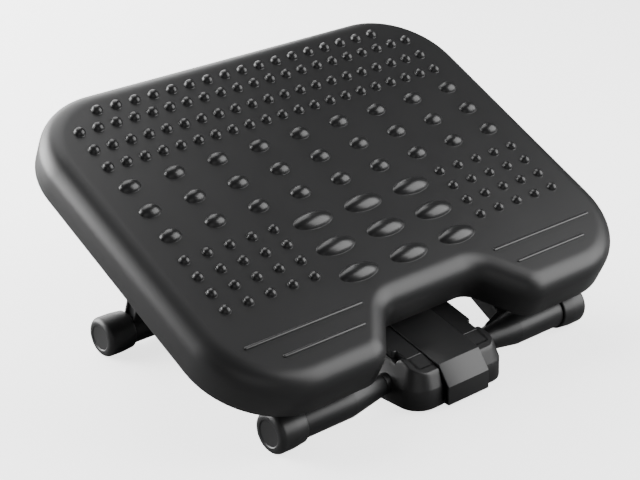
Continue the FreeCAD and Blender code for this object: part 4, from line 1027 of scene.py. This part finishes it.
class FOOTREST_OT_stage(bpy.types.Operator):
    """Set the pale floor, the soft lights and the camera at the photographed view"""

    bl_idname = "footrest.stage"
    bl_label = "Stage"

    def execute(self, context):
        self.floor(context)
        self.lights()
        self.camera(context)
        return {"FINISHED"}

    def floor(self, context):
        """A plain square far wider than the view."""
        reach = context.scene.footrest_stage.reach
        mesh = bpy.data.meshes.new("floor")
        corners = [(-reach, -reach, 0), (reach, -reach, 0), (reach, reach, 0), (-reach, reach, 0)]
        mesh.from_pydata(corners, [], [(0, 1, 2, 3)])
        obj = linked("floor", mesh)
        mesh.materials.append(self.paper(tuple(context.scene.footrest_colours.floor)))

    def paper(self, tint):
        """White studio paper, lit from below for the eye and dull in what the footrest reflects."""
        material = bpy.data.materials.new("floor_paper")
        material.use_nodes = True
        tree = material.node_tree
        shader = tree.nodes["Principled BSDF"]
        shader.inputs["Base Color"].default_value = (*tint, 1)
        shader.inputs["Roughness"].default_value = 0.9
        shader.inputs["Emission Color"].default_value = (1, 1, 1, 1)
        shader.inputs["Emission Strength"].default_value = PAPER_GLOW
        dull = tree.nodes.new("ShaderNodeBsdfDiffuse")
        dull.inputs["Color"].default_value = (PAPER_DULL, PAPER_DULL, PAPER_DULL, 1)
        camera_mix(tree, shader.outputs[0], dull.outputs[0], tree.nodes["Material Output"].inputs["Surface"])
        return material

    def lights(self):
        """A dim world that looks like the paper to the camera, and square lamps that face the footrest."""
        world = bpy.data.worlds.new("studio")
        world.use_nodes = True
        tree = world.node_tree
        sky, paper = tree.nodes["Background"], tree.nodes.new("ShaderNodeBackground")
        for shader, strength in ((sky, WORLD_LIGHT), (paper, WORLD_SEEN)):
            shader.inputs["Color"].default_value = (1, 1, 1, 1)
            shader.inputs["Strength"].default_value = strength
        camera_mix(tree, paper.outputs[0], sky.outputs[0], tree.nodes["World Output"].inputs["Surface"])
        bpy.context.scene.world = world
        for name, way, size, power in LAMPS:
            place = LAMP_AIM + LAMP_DISTANCE * np.array(way) / np.linalg.norm(way)
            lamp = bpy.data.lights.new(name, "AREA")
            lamp.shape = "SQUARE"
            lamp.size = size
            lamp.energy = power
            obj = linked(name, lamp)
            obj.location = place
            aim = LAMP_AIM - place
            yaw = math.atan2(aim[1], aim[0])
            pitch = math.atan2(aim[2], math.hypot(aim[0], aim[1]))
            obj.rotation_euler = (math.pi / 2 + pitch, 0, yaw - math.pi / 2)

    def camera(self, context):
        """The photographed view."""
        data = bpy.data.cameras.new("view")
        data.lens = context.scene.footrest_stage.lens
        data.sensor_width = 36.0
        data.clip_start = 0.05
        obj = linked("view", data)
        matrix = np.eye(4)
        matrix[:3, 0], matrix[:3, 1], matrix[:3, 2] = VIEW_RIGHT, -VIEW_DOWN, -VIEW_AHEAD
        matrix[:3, 3] = VIEW_PLACE
        obj.matrix_world = Matrix(matrix.tolist())
        context.scene.camera = obj


OPERATORS = (
    FOOTREST_OT_stage,
    FOOTREST_OT_plate,
    FOOTREST_OT_bumps,
    FOOTREST_OT_caps,
    FOOTREST_OT_legs,
    FOOTREST_OT_pod,
    FOOTREST_OT_fittings,
)


class FOOTREST_PT_panel(bpy.types.Panel):
    """Buttons for every piece of the footrest"""

    bl_idname = "FOOTREST_PT_panel"
    bl_label = "Footrest"
    bl_space_type = "VIEW_3D"
    bl_region_type = "UI"
    bl_category = "Footrest"

    def draw(self, context):
        for operator in OPERATORS:
            self.layout.operator(operator.bl_idname)
        for name, group in GROUPS.items():
            box = self.layout.box()
            for prop in group.__annotations__:
                box.prop(getattr(context.scene, name), prop)


def register():
    for cls in (*GROUPS.values(), *OPERATORS, FOOTREST_PT_panel):
        bpy.utils.register_class(cls)
    for name, group in GROUPS.items():
        setattr(bpy.types.Scene, name, PointerProperty(type=group))


def unregister():
    for name in GROUPS:
        delattr(bpy.types.Scene, name)
    for cls in (FOOTREST_PT_panel, *OPERATORS[::-1], *list(GROUPS.values())[::-1]):
        bpy.utils.unregister_class(cls)


def main():
    register()
    make_materials(bpy.context.scene.footrest_colours)
    for operator in OPERATORS:
        group, name = operator.bl_idname.split(".")
        getattr(getattr(bpy.ops, group), name)()


if __name__ == "__main__":
    main()
